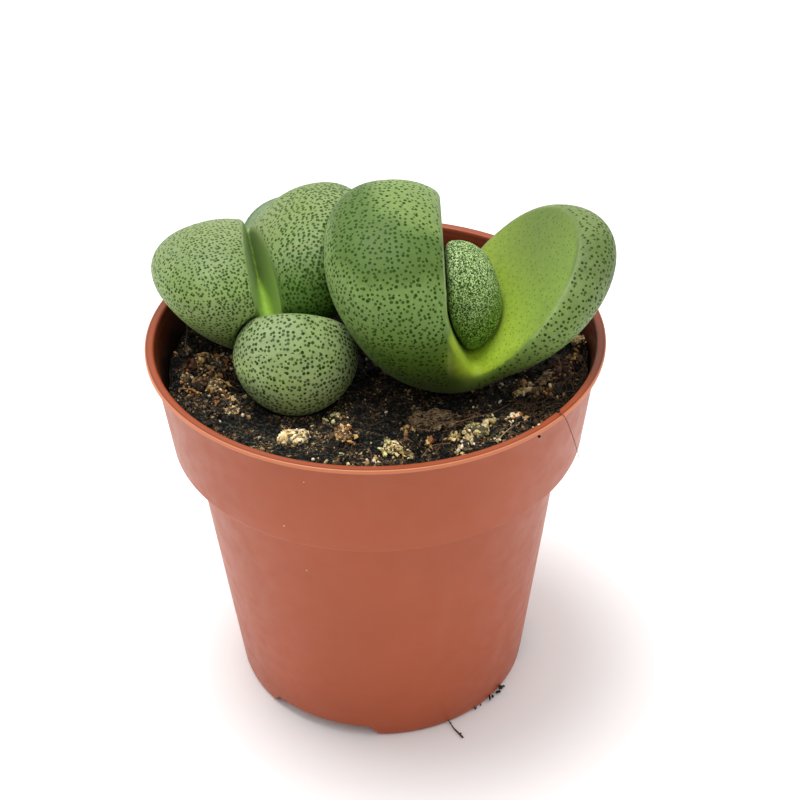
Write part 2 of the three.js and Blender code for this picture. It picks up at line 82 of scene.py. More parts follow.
# Soil
SOIL_LEVEL = 68.2
SOIL_RISE = 3.6
SOIL_RISE_FROM = 20
SOIL_RISE_TO = 38
SOIL_SEED = 87109
SOIL_WAVES = 9
SOIL_WAVE_HEIGHT = 0.45
SOIL_WAVE_FADE = 0.25
SOIL_WAVE_FREQUENCY = 0.16
SOIL_WAVE_STEP = 0.07
CLEARANCE = 0.3
INNER_CORNER = 0.6
LEDGE_ROUNDING = 1.1


class Leaf:
    """A rounded body cut by a flat inner face. "at" is the middle of that face, and angles are in degrees.
    "face" is how far back the face is set and how fast that changes along the width, "rim" the rounding of
    its edge, and "front" the side of the width that lies to the front."""

    def __init__(self, at, heading, lean, roll, half_width, half_depth, inset, flare, rise, drop, power,
                 face=(0.0, 0.0), rim=1.2, front=-1):
        self.at = np.array(at, float)
        self.half_width, self.half_depth = half_width, half_depth
        self.inset, self.flare = inset, flare
        self.rise, self.drop, self.power, self.face, self.rim = rise, drop, power, face, rim
        self.front = front
        heading, lean, roll = (math.radians(v) for v in (heading, lean, roll))
        outward = np.array([math.cos(heading), math.sin(heading), 0.0])
        up = np.array([0.0, 0.0, 1.0])
        self.back = math.cos(lean) * outward - math.sin(lean) * up
        long = math.sin(lean) * outward + math.cos(lean) * up
        wide = np.cross(self.back, long)
        self.wide = math.cos(roll) * wide + math.sin(roll) * long
        self.long = math.cos(roll) * long - math.sin(roll) * wide

    def local(self, points):
        """x along the leaf's width, y behind its flat face, z along its length."""
        offset = points - self.at
        return offset @ self.wide, offset @ self.back, offset @ self.long

    def turned(self, x, y, z):
        """The place as shares of the body's half sizes."""
        length = np.where(z > 0, self.rise, self.drop)
        return x / self.half_width, (y - self.inset - self.flare * z) / self.half_depth, z / length

    def body(self, points):
        """Distance to the rounded body, under 0 inside."""
        x, y, z = self.local(points)
        length = np.where(z > 0, self.rise, self.drop)
        u, v, w = self.turned(x, y, z)
        p = self.power
        pu, pv, pw = (np.abs(t) ** (p - 1) for t in (u, v, w))
        total = np.maximum(pu * np.abs(u) + pv * np.abs(v) + pw * np.abs(w), 1e-12)
        rho = total ** (1 / p)
        gx = pu / self.half_width
        gy = pv * np.sign(v) / self.half_depth
        gz = pw * np.sign(w) / length - self.flare * gy
        slope = rho ** (1 - p) * np.sqrt(gx * gx + gy * gy + gz * gz)
        return (rho - 1) / np.maximum(slope, 1e-9)

    def behind_face(self, points):
        x, y, z = self.local(points)
        set_back, turn = self.face
        return (y - set_back - turn * x) / math.hypot(1, turn)

    def distance(self, points):
        return smooth_max(self.body(points), -self.behind_face(points), self.rim)


def unit(vectors):
    return vectors / np.maximum(np.linalg.norm(vectors, axis=-1, keepdims=True), 1e-9)


def srgb(red, green, blue):
    """A colour given in 0..255 display values, as linear light."""
    shares = (red / 255, green / 255, blue / 255)
    return tuple(v / 12.92 if v <= 0.04045 else ((v + 0.055) / 1.055) ** 2.4 for v in shares)


def smooth_max(a, b, width):
    near = np.maximum(width - np.abs(a - b), 0) / width
    return np.maximum(a, b) + near * near * width / 4


def smooth_min(a, b, width):
    return -smooth_max(-a, -b, width)


def smooth_step(value, low, high):
    share = np.clip((value - low) / (high - low), 0, 1)
    return share * share * (3 - 2 * share)


LEAVES = {
    "upright": Leaf([12.5, -3.5, 91.2], 179.3, 2.4, 14.1, 18.2, 13.6, 6.4, 0.3, 14, 22, 2.34),
    "leaning": Leaf([24.9, -3.3, 88.1], 11.6, 39, -18.2, 16.4, 9.4, 2.1, 0.14, 19.3, 25.5, 1.95, front=1),
    "young_front": Leaf([15.3, -1.5, 88.6], -81.4, 13.1, -17.8, 6.6, 8.9, 3.1, -0.1, 10.3, 13.2, 2.18),
    "young_back": Leaf([16, 0.3, 85.4], 98.6, -7.6, 17.5, 6.3, 6, 2, 0, 7, 14, 2.2),
    "left_hand": Leaf([-22, 9.5, 85.9], -162.8, 8.9, -2.4, 14.3, 13, 5.5, 0.37, 8.8, 16.2, 2.24,
                      face=(0.8, -0.19), rim=0.7),
    "right_hand": Leaf([-20.9, 9.8, 86.2], 16.8, 0.6, 7.8, 16.9, 11.4, 7.8, 0.5, 12.2, 16.1, 2.15,
                       rim=0.7, front=1),
    "low_front": Leaf([-14.3, -1.9, 79.5], -94, 39.5, 5.5, 11.4, 10.8, 6, -0.05, 9.8, 10.4, 1.88),
    "low_back": Leaf([-14.2, 19.1, 82.9], 94.7, 51, -6.8, 12.1, 7.1, 2.3, -0.05, 12.3, 14, 2.26),
}


class Pair:
    """Two leaves grown together at a rounded base. The union is softer at the base than up in the cleft."""

    def __init__(self, first, second, base_at, base_size, blend_low, blend_high, low, high, outer=()):
        self.first, self.second = LEAVES[first], LEAVES[second]
        self.base_at, self.base_size = np.array(base_at, float), np.array(base_size, float)
        self.blend_low, self.blend_high = blend_low, blend_high
        self.low, self.high = low, high
        self.outer = outer

    def base(self, points):
        offset = (points - self.base_at) / self.base_size
        rho = np.maximum(np.linalg.norm(offset, axis=-1), 1e-6)
        slope = np.linalg.norm(offset / self.base_size, axis=-1) / rho
        return (rho - 1) / np.maximum(slope, 1e-9)

    def blend(self, points):
        share = smooth_step(points[..., 2], self.low, self.high)
        return self.blend_low + (self.blend_high - self.blend_low) * share

    def form(self, points):
        value = smooth_min(self.first.distance(points), self.second.distance(points), self.blend(points))
        return smooth_min(value, self.base(points), self.blend_low)

    def distance(self, points):
        value = self.form(points)
        for other in self.outer:
            value = smooth_max(value, PRESSED_GAP - other.form(points), PRESSED_ROUNDING)
        return value

    def saddle(self, points):
        """1 on the floor of the cleft, and the share of the glow round its edge."""
        return np.zeros(len(points)), np.zeros(len(points))


class SaddledPair(Pair):
    """A pair whose cleft ends on a sloping floor: bodies and base, less the wedge of three planes."""

    base_blend = 3.0
    floor_blend = 2.6
    wedge_blend = 2.4
    # Rounding of the cleft's edge, and how much it gains at the crease and at the tops, between two heights
    edge_rounding = 0.6
    more_rounding = [(2.6, 88, 79), (1.6, 99, 104)]

    def cut_by(self, crease, rim, climb):
        self.crease = np.array(crease)
        self.across = unit(np.cross(unit(self.crease - rim), climb))
        return self

    def wedge(self, points):
        """Depth behind the cleft's three planes: under 0 in the open cleft."""
        first, second = self.first.local(points)[1], self.second.local(points)[1]
        floor = (points - self.crease) @ self.across
        faces = smooth_max(first, floor, self.floor_blend)
        return smooth_max(faces, second, self.wedge_blend), floor - np.maximum(first, second)

    def form(self, points):
        value = smooth_min(self.first.body(points), self.second.body(points), self.blend(points))
        value = smooth_min(value, self.base(points), self.base_blend)
        rounding = self.edge_rounding
        for more, none_at, full_at in self.more_rounding:
            rounding = rounding + more * smooth_step(points[..., 2], none_at, full_at)
        return smooth_max(value, -self.wedge(points)[0], rounding)

    def saddle(self, points):
        wedge, floor_lead = self.wedge(points)
        on_floor = smooth_step(floor_lead, -0.8, 0.8) * (1 - smooth_step(wedge, 0.3, 1.0))
        glow = smooth_step(floor_lead, -5, 0.5) * (1 - smooth_step(wedge, 0.3, 4.5))
        return on_floor, glow


PRESSED_GAP = 0.3
PRESSED_ROUNDING = 1.2

right_outer = SaddledPair("upright", "leaning", [18, -4, 78], [9, 9, 7], 5, 1.5, 74, 92)
right_outer.cut_by([16.4, -16.4, 79.6], [12.4, -19.8, 87.6], [0, -0.95, 0.3])
right_inner = Pair("young_front", "young_back", [16, -1, 76], [4, 5, 4], 2.0, 0.8, 74, 82, [right_outer])
left_outer = Pair("low_front", "low_back", [-15.5, 6, 69.5], [8, 7, 4.5], 4.0, 2.0, 70, 78, [right_outer])
left_inner = Pair("left_hand", "right_hand", [-20.5, 8, 74], [7, 8, 6], 2.2, 1.0, 74, 82,
                  [left_outer, right_outer])
PAIRS = {
    "right_head_outer_pair": right_outer,
    "right_head_inner_pair": right_inner,
    "left_head_outer_pair": left_outer,
    "left_head_inner_pair": left_inner,
}


# Meshes

def add_mesh(name, points, faces, smooth=True):
    """A mesh object from points in millimetres."""
    mesh = bpy.data.meshes.new(name)
    mesh.from_pydata((np.asarray(points) * MM).tolist(), [], [list(map(int, f)) for f in faces])
    mesh.update()
    if smooth:
        mesh.shade_smooth()
    piece = bpy.data.objects.new(name, mesh)
    bpy.context.scene.collection.objects.link(piece)
    return piece


def opaque(colours):
    """Colours with a full fourth channel."""
    return np.pad(np.asarray(colours, float), ((0, 0), (0, 1)), constant_values=1)


def add_attribute(piece, name, kind, values):
    """A value for each point: kind is FLOAT, FLOAT_VECTOR or FLOAT_COLOR."""
    attribute = piece.data.attributes.new(name, kind, "POINT")
    field = {"FLOAT": "value", "FLOAT_VECTOR": "vector", "FLOAT_COLOR": "color"}[kind]
    attribute.data.foreach_set(field, np.asarray(values, np.float32).ravel())


def settle(piece, slot, material, *nodes):
    """A finished piece: its material, the CAD nodes it stands for and the body it rides on."""
    piece.data.materials.clear()
    piece.data.materials.append(material)
    if nodes:
        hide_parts(*nodes)
    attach(piece, "root")


CELL_CORNERS = np.array([(i, j, k) for i in (0, 1) for j in (0, 1) for k in (0, 1)])
CELL_EDGES = [
    (a, b)
    for a in range(8)
    for b in range(a + 1, 8)
    if np.abs(CELL_CORNERS[a] - CELL_CORNERS[b]).sum() == 1
]


def surface_net(value_of, low, high, step):
    """A closed quad mesh of the surface where value_of is 0, from a grid of cells with one point in each."""
    axes = [np.arange(low[i], high[i] + step, step) for i in range(3)]
    grid = np.stack(np.meshgrid(*axes, indexing="ij"), -1)
    values = value_of(grid)
    size = np.array(values.shape) - 1

    def shifted(corner):
        i, j, k = CELL_CORNERS[corner]
        return values[i : i + size[0], j : j + size[1], k : k + size[2]]

    inside = np.stack([shifted(c) < 0 for c in range(8)])
    active = inside.any(0) & ~inside.all(0)
    cells = np.argwhere(active)
    numbers = np.full(active.shape, -1)
    numbers[active] = np.arange(len(cells))
    corner_values = np.stack([shifted(c)[active] for c in range(8)])
    total = np.zeros((len(cells), 3))
    count = np.zeros(len(cells))
    for a, b in CELL_EDGES:
        va, vb = corner_values[a], corner_values[b]
        crossed = (va < 0) != (vb < 0)
        share = np.where(crossed, va / np.where(va == vb, 1, va - vb), 0)[:, None]
        point = CELL_CORNERS[a] + share * (CELL_CORNERS[b] - CELL_CORNERS[a])
        total += np.where(crossed[:, None], point, 0)
        count += crossed
    points = np.asarray(low) + (cells + total / count[:, None]) * step

    quads = []
    negative = values < 0
    for axis in range(3):
        first, second = [a for a in range(3) if a != axis]
        here = np.take(negative, range(size[axis]), axis)
        there = np.take(negative, range(1, size[axis] + 1), axis)
        edges = np.argwhere(here != there)
        edges = edges[(edges[:, first] > 0) & (edges[:, second] > 0)]
        edges = edges[(edges[:, first] < size[first]) & (edges[:, second] < size[second])]
        ring = []
        for back_first, back_second in ((1, 1), (0, 1), (0, 0), (1, 0)):
            cell = edges.copy()
            cell[:, first] -= back_first
            cell[:, second] -= back_second
            ring.append(numbers[tuple(cell.T)])
        ring = np.stack(ring, -1)
        outward = here[tuple(edges.T)]
        if axis == 1:
            outward = ~outward
        quads.append(np.where(outward[:, None], ring, ring[:, ::-1]))
    return points, np.concatenate(quads)


def gradient(value_of, points, reach=0.02):
    steps = np.eye(3) * reach
    return np.stack([value_of(points + s) - value_of(points - s) for s in steps], -1) / (2 * reach)


def onto_surface(value_of, points, rounds=3, farthest=0.3):
    for _ in range(rounds):
        slope = gradient(value_of, points)
        move = (value_of(points) / np.maximum((slope * slope).sum(-1), 1e-6))[:, None] * slope
        length = np.linalg.norm(move, axis=-1, keepdims=True)
        points = points - move * np.minimum(1, farthest / np.maximum(length, 1e-9))
    return points


def relaxed(points, faces, rounds):
    """Points moved to the middle of their neighbours."""
    ends = np.concatenate([faces[:, [i, (i + 1) % 4]] for i in range(4)])
    for _ in range(rounds):
        total = np.zeros_like(points)
        count = np.zeros(len(points))
        for a, b in ((0, 1), (1, 0)):
            np.add.at(total, ends[:, a], points[ends[:, b]])
            np.add.at(count, ends[:, a], 1)
        points = 0.4 * points + 0.6 * total / count[:, None]
    return points


# Leaf pairs

LEAF_STEP = 0.45

# How far the dot patterns of the sides, the faces and the second leaf lie from those of the first leaf's back
SIDE_OFFSET = 75.0
FACE_OFFSET = 150.0
LEAF_OFFSET = 400.0
# A depth behind the face that no place of the back has
OFF_THE_BACK = 9


def back_chart(leaf, points):
    """Flat coordinates of the rounded back, in millimetres, seen from its middle."""
    x, y, z = leaf.local(points)
    u, v, w = leaf.turned(x, y, z)
    sideways = np.maximum(np.hypot(u, w), 1e-6)
    spread = 2 * np.sin(np.arctan2(sideways, v) / 2) / sideways
    return np.stack([spread * x, spread * z], -1)


def side_chart(leaf, points):
    """Flat coordinates near the rim: the way round the leaf, with its seam underneath, and the depth behind
    its face."""
    x, y, z = leaf.local(points)
    u, v, w = leaf.turned(x, y, z)
    radius = math.sqrt(leaf.half_width * (leaf.rise + leaf.drop) / 2)
    return np.stack([radius * np.arctan2(u, w) + SIDE_OFFSET, v * leaf.half_depth], -1)


def face_chart(leaf, points):
    x, y, z = leaf.local(points)
    return np.stack([x + FACE_OFFSET, z], -1)


def chart_metric(chart, leaf, points, normals, reach=0.01):
    """How far apart places of a chart are on the surface, as the three terms of a quadratic form."""
    slopes = []
    for axis in np.eye(3):
        slopes.append((chart(leaf, points + reach * axis) - chart(leaf, points - reach * axis)) / (2 * reach))
    slopes = np.stack(slopes, -1)
    slopes -= (slopes @ normals[..., None]) * normals[:, None, :]
    uu = (slopes[:, 0] ** 2).sum(-1)
    vv = (slopes[:, 1] ** 2).sum(-1)
    uv = (slopes[:, 0] * slopes[:, 1]).sum(-1)
    area = np.maximum(uu * vv - uv * uv, 0.02)
    return np.clip(np.stack([vv / area, -uv / area, uu / area], -1), -30, 30)


def leaf_attributes(pair, points, normals):
    """Dot places on the backs and near the rims, how they are stretched, and masks for the leaves' parts."""
    first, second = pair.first.distance(points), pair.second.distance(points)
    floor, glow = pair.saddle(points)
    second_owns = (second < first) | (floor > 0.5)
    columns = []
    for leaf, offset in ((pair.first, 0.0), (pair.second, LEAF_OFFSET)):
        u, v, height = leaf.turned(*leaf.local(points))
        body, behind = leaf.body(points), leaf.behind_face(points)
        on_face = ((-behind > body) | (floor > 0.5))[:, None]
        place = np.where(on_face, face_chart(leaf, points), back_chart(leaf, points)) + offset
        stretch = np.where(on_face, chart_metric(face_chart, leaf, points, normals),
                           chart_metric(back_chart, leaf, points, normals))
        side = side_chart(leaf, points) + offset
        depth = np.where(on_face[:, 0], OFF_THE_BACK, v)
        side_stretch = chart_metric(side_chart, leaf, points, normals)
        back_mask = np.where(on_face[:, 0], 0, smooth_step(behind, 0.05, 0.3))
        face_mask = np.where(on_face[:, 0], np.maximum(smooth_step(-body, 0.3, 0.9), floor), 0)
        from_rim = np.hypot(np.minimum(np.abs(behind), 3), np.minimum(np.abs(body), 3))
        rim_mask = 1 - smooth_step(from_rim, 0.1, 0.36)
        outward = smooth_max(leaf.front * u, v, 0.8)
        turn = np.arctan2(height, np.abs(outward)) / (TURN / 4)
        turn = np.where(outward < 0, 1 + 0.12 * (1 - turn), turn)
        columns.append([
            np.column_stack([place, depth]), stretch, np.column_stack([side, height]), side_stretch,
            np.column_stack([back_mask, face_mask, rim_mask]), np.column_stack([turn, leaf.front * u, v]),
        ])
    places, stretches, sides, side_stretches, zones, lies = (
        np.where(second_owns[:, None], b, a) for a, b in zip(*columns)
    )
    zones[:, 0] *= smooth_step(np.abs(first - second), 0.3, 1.2)
    share = np.maximum(smooth_step(first - second, -2.5, 2.5), floor)
    return {
        "dot_place": places, "dot_metric": stretches, "side_place": sides, "side_metric": side_stretches,
        "zone": zones, "shares": np.column_stack([share, glow, floor]), "lie": lies,
    }


def make_pair(name, pair):
    reach = np.array([3.0, 3.0, 3.0])
    corners = []
    for leaf in (pair.first, pair.second):
        extent = max(leaf.half_width, leaf.half_depth + abs(leaf.inset) + 6, leaf.rise, leaf.drop) + 2
        corners += [leaf.at - extent, leaf.at + extent]
    low = np.maximum(np.min(corners, 0), [-60, -60, SOIL_LEVEL - 10])
    high = np.max(corners, 0) + reach
    points, faces = surface_net(pair.distance, low, high, LEAF_STEP)
    points = onto_surface(pair.distance, points, 2)
    for _ in range(2):
        points = onto_surface(pair.distance, relaxed(points, faces, 2), 1)
    points, faces = largest_part(points, faces)
    normals = unit(gradient(pair.distance, points))
    piece = add_mesh(name + "_skin", points, faces)
    for label, values in leaf_attributes(pair, points, normals).items():
        add_attribute(piece, label, "FLOAT_VECTOR", values)
    return piece


def largest_part(points, faces):
    """Only the body with the most points."""
    label = np.arange(len(points))
    ends = np.concatenate([faces[:, [i, (i + 1) % 4]] for i in range(4)])
    while True:
        before = label.copy()
        np.minimum.at(label, ends[:, 0], label[ends[:, 1]])
        np.minimum.at(label, ends[:, 1], label[ends[:, 0]])
        label = label[label]
        if (label == before).all():
            break
    names, counts = np.unique(label, return_counts=True)
    keep = label == names[counts.argmax()]
    number = np.cumsum(keep) - 1
    return points[keep], number[faces[keep[faces[:, 0]]]]


# Pot

BORE_HEIGHT = POT_HEIGHT - LIP_THICKNESS - COLLAR_HEIGHT

# Corners of half the pot's section: radius, height, rounding
POT_CORNERS = [
    (0, FOOT_HEIGHT, 0),
    (FOOT_RADIUS - FOOT_WALL - 0.4, FOOT_HEIGHT, 0.5),
    (FOOT_RADIUS - FOOT_WALL, 0, 0.3),
    (FOOT_RADIUS, 0, 0.4),
    (BODY_FOOT_RADIUS, 1, 0.5),
    (BODY_TOP_RADIUS, BORE_HEIGHT, LEDGE_ROUNDING),
    (COLLAR_FOOT_RADIUS, BORE_HEIGHT, 0.55),
    (COLLAR_TOP_RADIUS, POT_HEIGHT - LIP_THICKNESS, 0.25),
    (RIM_RADIUS, POT_HEIGHT - LIP_THICKNESS, 0.16),
    (RIM_RADIUS, POT_HEIGHT, 0.3),
    (LIP_INNER_RADIUS, POT_HEIGHT, 0.45),
    (COLLAR_TOP_RADIUS - WALL, POT_HEIGHT - 2 * LIP_THICKNESS, 0.4),
    (COLLAR_FOOT_RADIUS - WALL, BORE_HEIGHT + WALL, 0.6),
    (BODY_TOP_RADIUS - WALL, BORE_HEIGHT + WALL, LEDGE_ROUNDING),
    (BODY_FOOT_RADIUS - WALL, FLOOR_HEIGHT, INNER_CORNER),
    (0, FLOOR_HEIGHT, 0),
]
POT_SEGMENTS = 240

# A notch in the foot ring: half of its outline as height and half angle in degrees, flared where it opens
NOTCH_OUTLINE = [(-1.5, 26.5), (0, 24.9), (0.2, 24.0), (0.6, 23.1), (2.1, 21.0), (2.7, 20.3), (2.92, 19.2),
                 (2.97, 17.5)]


def rounded_outline(corners, steps=6, longest=4.0):
    """The points of an open outline whose corners are curves and whose long runs are divided."""
    spots = [np.array(c[:2], float) for c in corners]
    points = [spots[0]]
    for i in range(1, len(corners) - 1):
        before, here, after = spots[i - 1 : i + 2]
        reach = corners[i][2]
        start = here + unit(before - here) * min(reach, np.linalg.norm(before - here) / 2)
        end = here + unit(after - here) * min(reach, np.linalg.norm(after - here) / 2)
        for k in range(steps + 1):
            t = k / steps
            points.append((1 - t) ** 2 * start + 2 * t * (1 - t) * here + t * t * end)
    points.append(spots[-1])
    divided = [points[0]]
    for a, b in zip(points, points[1:]):
        count = max(1, math.ceil(np.linalg.norm(b - a) / longest))
        divided += [a + (b - a) * (k + 1) / count for k in range(count)]
    return np.array(divided)


def turned(outline, segments):
    """A closed body turned from an outline that starts and ends on the axis."""
    angles = np.arange(segments) * TURN / segments
    inner = outline[1:-1]
    radii, heights = inner[:, 0], inner[:, 1:]
    rings = np.stack(
        [np.outer(radii, np.cos(angles)), np.outer(radii, np.sin(angles)), np.tile(heights, segments)], -1
    )
    count = len(inner)
    points = np.concatenate([rings.reshape(-1, 3), [[0, 0, outline[0][1]], [0, 0, outline[-1][1]]]])
    first, last = count * segments, count * segments + 1
    faces = []
    for j in range(segments):
        k = (j + 1) % segments
        faces.append((first, k, j))
        faces.append((last, (count - 1) * segments + j, (count - 1) * segments + k))
        faces += [(i * segments + j, i * segments + k, (i + 1) * segments + k, (i + 1) * segments + j)
                  for i in range(count - 1)]
    return points, faces


def notch_cutter(angle):
    half = [(z, math.radians(a)) for z, a in NOTCH_OUTLINE]
    outline = [(z, angle + a) for z, a in half] + [(z, angle - a) for z, a in reversed(half)]
    near, far = FOOT_RADIUS - 4 * FOOT_WALL, FOOT_RADIUS + 4 * FOOT_WALL
    points = [(r * math.cos(a), r * math.sin(a), z) for r in (near, far) for z, a in outline]
    count = len(outline)
    faces = [tuple(range(count)), tuple(range(2 * count - 1, count - 1, -1))]
    faces += [(i, i + count, (i + 1) % count + count, (i + 1) % count) for i in range(count)]
    return points, faces


def drain_cutter(x, y, sides=36):
    heights = (FOOT_HEIGHT - 1, FLOOR_HEIGHT + 1)
    points = [
        (x + DRAIN_RADIUS * math.cos(TURN * i / sides), y + DRAIN_RADIUS * math.sin(TURN * i / sides), z)
        for z in heights
        for i in range(sides)
    ]
    faces = [tuple(range(sides))[::-1], tuple(range(sides, 2 * sides))]
    faces += [(i, (i + 1) % sides, (i + 1) % sides + sides, i + sides) for i in range(sides)]
    return points, faces


def joined_lists(parts):
    """Several bodies' points and faces as one list of each."""
    points, faces = [], []
    for part_points, part_faces in parts:
        start = len(points)
        points += [tuple(p) for p in part_points]
        faces += [tuple(start + i for i in face) for face in part_faces]
    return points, faces


def cut_away(piece, cutter):
    """The piece less the cutter, which is removed."""
    modifier = piece.modifiers.new("cut", "BOOLEAN")
    modifier.operation = "DIFFERENCE"
    modifier.solver = "EXACT"
    modifier.object = cutter
    bpy.context.view_layer.update()
    shape = piece.evaluated_get(bpy.context.evaluated_depsgraph_get())
    mesh = bpy.data.meshes.new_from_object(shape)
    piece.modifiers.clear()
    piece.data = mesh
    bpy.data.objects.remove(cutter)


def make_pot():
    points, faces = turned(rounded_outline(POT_CORNERS), POT_SEGMENTS)
    pot = add_mesh("nursery_pot", points, faces)
    cutters = [notch_cutter(NOTCH_FIRST_ANGLE + TURN * i / NOTCH_COUNT) for i in range(NOTCH_COUNT)]
    cutters.append(drain_cutter(0, 0))
    for i in range(DRAIN_COUNT):
        angle = DRAIN_FIRST_ANGLE + TURN * i / DRAIN_COUNT
        cutters.append(drain_cutter(DRAIN_CIRCLE * math.cos(angle), DRAIN_CIRCLE * math.sin(angle)))
    cutter = add_mesh("pot_cutter", *joined_lists(cutters), smooth=False)
    outward(cutter.data)
    outward(pot.data)
    cut_away(pot, cutter)
    pot.data.shade_smooth()
    pot.data.set_sharp_from_angle(angle=math.radians(38))
    return pot


def outward(mesh):
    """Turns the faces of closed bodies outwards."""
    edit = bmesh.new()
    edit.from_mesh(mesh)
    bmesh.ops.recalc_face_normals(edit, faces=edit.faces)
    edit.to_mesh(mesh)
    edit.free()


# Soil

# The stream of numbers that the frame's soil takes its waves from
STREAM_FACTOR = 16807
STREAM_LIMIT = 2147483647


def soil_waves():
    """The waves of the frame's soil: frequency along x and y, phase and height."""
    state = SOIL_SEED
    waves = []
    for i in range(SOIL_WAVES):
        state = state * STREAM_FACTOR % STREAM_LIMIT
        direction = state / STREAM_LIMIT * TURN
        state = state * STREAM_FACTOR % STREAM_LIMIT
        phase = state / STREAM_LIMIT * TURN
        frequency = SOIL_WAVE_FREQUENCY + SOIL_WAVE_STEP * i
        height = SOIL_WAVE_HEIGHT / (1 + SOIL_WAVE_FADE * i)
        waves.append((math.cos(direction) * frequency, math.sin(direction) * frequency, phase, height))
    return waves


WAVES = soil_waves()


def soil_height(x, y):
    height = SOIL_LEVEL + SOIL_RISE * smooth_step(x, SOIL_RISE_FROM, SOIL_RISE_TO)
    for kx, ky, phase, size in WAVES:
        height = height + size * np.sin(kx * x + ky * y + phase)
    return height


def lattice_noise(x, y, cell, seed, count=256):
    """Smooth noise in -1..1 from random values on a square lattice."""
    values = np.random.default_rng(seed).uniform(-1, 1, (count, count))
    u, v = x / cell + count / 2, y / cell + count / 2
    i, j = np.floor(u).astype(int), np.floor(v).astype(int)
    fu, fv = smooth_step(u - i, 0, 1), smooth_step(v - j, 0, 1)
    i, j = i % count, j % count
    i2, j2 = (i + 1) % count, (j + 1) % count
    low = values[i, j] * (1 - fu) + values[i2, j] * fu
    high = values[i, j2] * (1 - fu) + values[i2, j2] * fu
    return low * (1 - fv) + high * fv


# Fine relief of the soil: cell and height of each layer
RELIEF = [(4.2, 0.42), (1.9, 0.34), (0.95, 0.24), (0.55, 0.12)]
SMOOTH_PATCH = (-20.5, -20.5, 6.5)


def ground(x, y):
    """The soil's top with its crumbs, calmer on the smooth wet patch at the left."""
    relief = sum(size * lattice_noise(x, y, cell, 11 + i) for i, (cell, size) in enumerate(RELIEF))
    px, py, radius = SMOOTH_PATCH
    calm = 1 - 0.6 * (1 - smooth_step(np.hypot(x - px, y - py), 0.4 * radius, radius))
    return soil_height(x, y) + relief * calm


def inner_radius(z):
    """The pot's inner radius at a height above its ledge."""
    low, high = BORE_HEIGHT + WALL, POT_HEIGHT - 2 * LIP_THICKNESS
    return COLLAR_FOOT_RADIUS - WALL + (z - low) / (high - low) * (COLLAR_TOP_RADIUS - COLLAR_FOOT_RADIUS)


def heads_distance(points):
    return np.minimum.reduce([pair.form(points) for pair in PAIRS.values()])


SOIL_RINGS = 112
SOIL_SEGMENTS = 430
POCKET_DEPTH = 9.0
POCKET_STEP = 0.35


def pocket_floor(x, y, top):
    """The top of the soil, lowered to the underside of whatever sits in it."""
    near = heads_distance(np.stack([x, y, top], -1)) < 4
    floor = top.copy()
    columns = np.flatnonzero(near)
    heights = np.arange(SOIL_LEVEL - POCKET_DEPTH, SOIL_LEVEL + 6, POCKET_STEP)
    grid = np.stack(np.broadcast_arrays(x[columns, None], y[columns, None], heights[None]), -1)
    value = heads_distance(grid.astype(float)) - CLEARANCE
    touched = (value < 0) & (heights[None] <= top[columns, None] + POCKET_STEP)
    first = touched.argmax(1)
    hit = touched.any(1)
    rows = np.arange(len(columns))
    before = value[rows, np.maximum(first - 1, 0)]
    here = value[rows, first]
    share = np.where(first > 0, before / np.where(before == here, 1, before - here), 0)
    entry = heights[np.maximum(first - 1, 0)] + np.clip(share, 0, 1) * POCKET_STEP
    floor[columns[hit]] = np.minimum(floor[columns[hit]], entry[hit])
    return floor


def make_soil():
    angles = np.arange(SOIL_SEGMENTS) * TURN / SOIL_SEGMENTS
    shares = (np.arange(1, SOIL_RINGS + 1) / SOIL_RINGS)[:, None]
    limit = inner_radius(SOIL_LEVEL) - 1.2 * CLEARANCE
    x, y = shares * limit * np.cos(angles), shares * limit * np.sin(angles)
    flat_x, flat_y = np.append(x.ravel(), 0.0), np.append(y.ravel(), 0.0)
    top = ground(flat_x, flat_y)
    level = pocket_floor(flat_x, flat_y, top)
    count = SOIL_RINGS * SOIL_SEGMENTS
    edge = inner_radius(level[:count].reshape(SOIL_RINGS, -1)[-1]) - 1.4 * CLEARANCE
    grow = 1 + (edge / limit - 1) * shares**6
    surface = np.stack([x * grow, y * grow, level[:count].reshape(x.shape)], -1)
    wall = [
        (COLLAR_FOOT_RADIUS - WALL - 1.6 * CLEARANCE, BORE_HEIGHT + WALL + 1.2 * CLEARANCE),
        (BODY_TOP_RADIUS - WALL - 1.2 * CLEARANCE, BORE_HEIGHT + WALL - LEDGE_ROUNDING),
        (BODY_FOOT_RADIUS - WALL - CLEARANCE, FLOOR_HEIGHT + CLEARANCE + INNER_CORNER),
        (BODY_FOOT_RADIUS - WALL - INNER_CORNER - CLEARANCE, FLOOR_HEIGHT + CLEARANCE),
    ]
    rings = [np.stack([r * np.cos(angles), r * np.sin(angles), np.full_like(angles, z)], -1) for r, z in wall]
    ends = [[0, 0, level[-1]], [0, 0, FLOOR_HEIGHT + CLEARANCE]]
    points = np.concatenate([surface.reshape(-1, 3), *rings, ends])
    rows = SOIL_RINGS + len(wall)
    j = np.arange(SOIL_SEGMENTS)
    k = (j + 1) % SOIL_SEGMENTS
    faces = []
    for i in range(rows - 1):
        a, b = i * SOIL_SEGMENTS, (i + 1) * SOIL_SEGMENTS
        faces += np.stack([a + j, b + j, b + k, a + k], -1).tolist()
    centre, under = rows * SOIL_SEGMENTS, rows * SOIL_SEGMENTS + 1
    last = (rows - 1) * SOIL_SEGMENTS
    faces += [(centre, int(a), int(b)) for a, b in zip(j, k)]
    faces += [(under, int(last + b), int(last + a)) for a, b in zip(j, k)]
    return add_mesh("soil_mass", points, faces)


# Crumbs and fibres

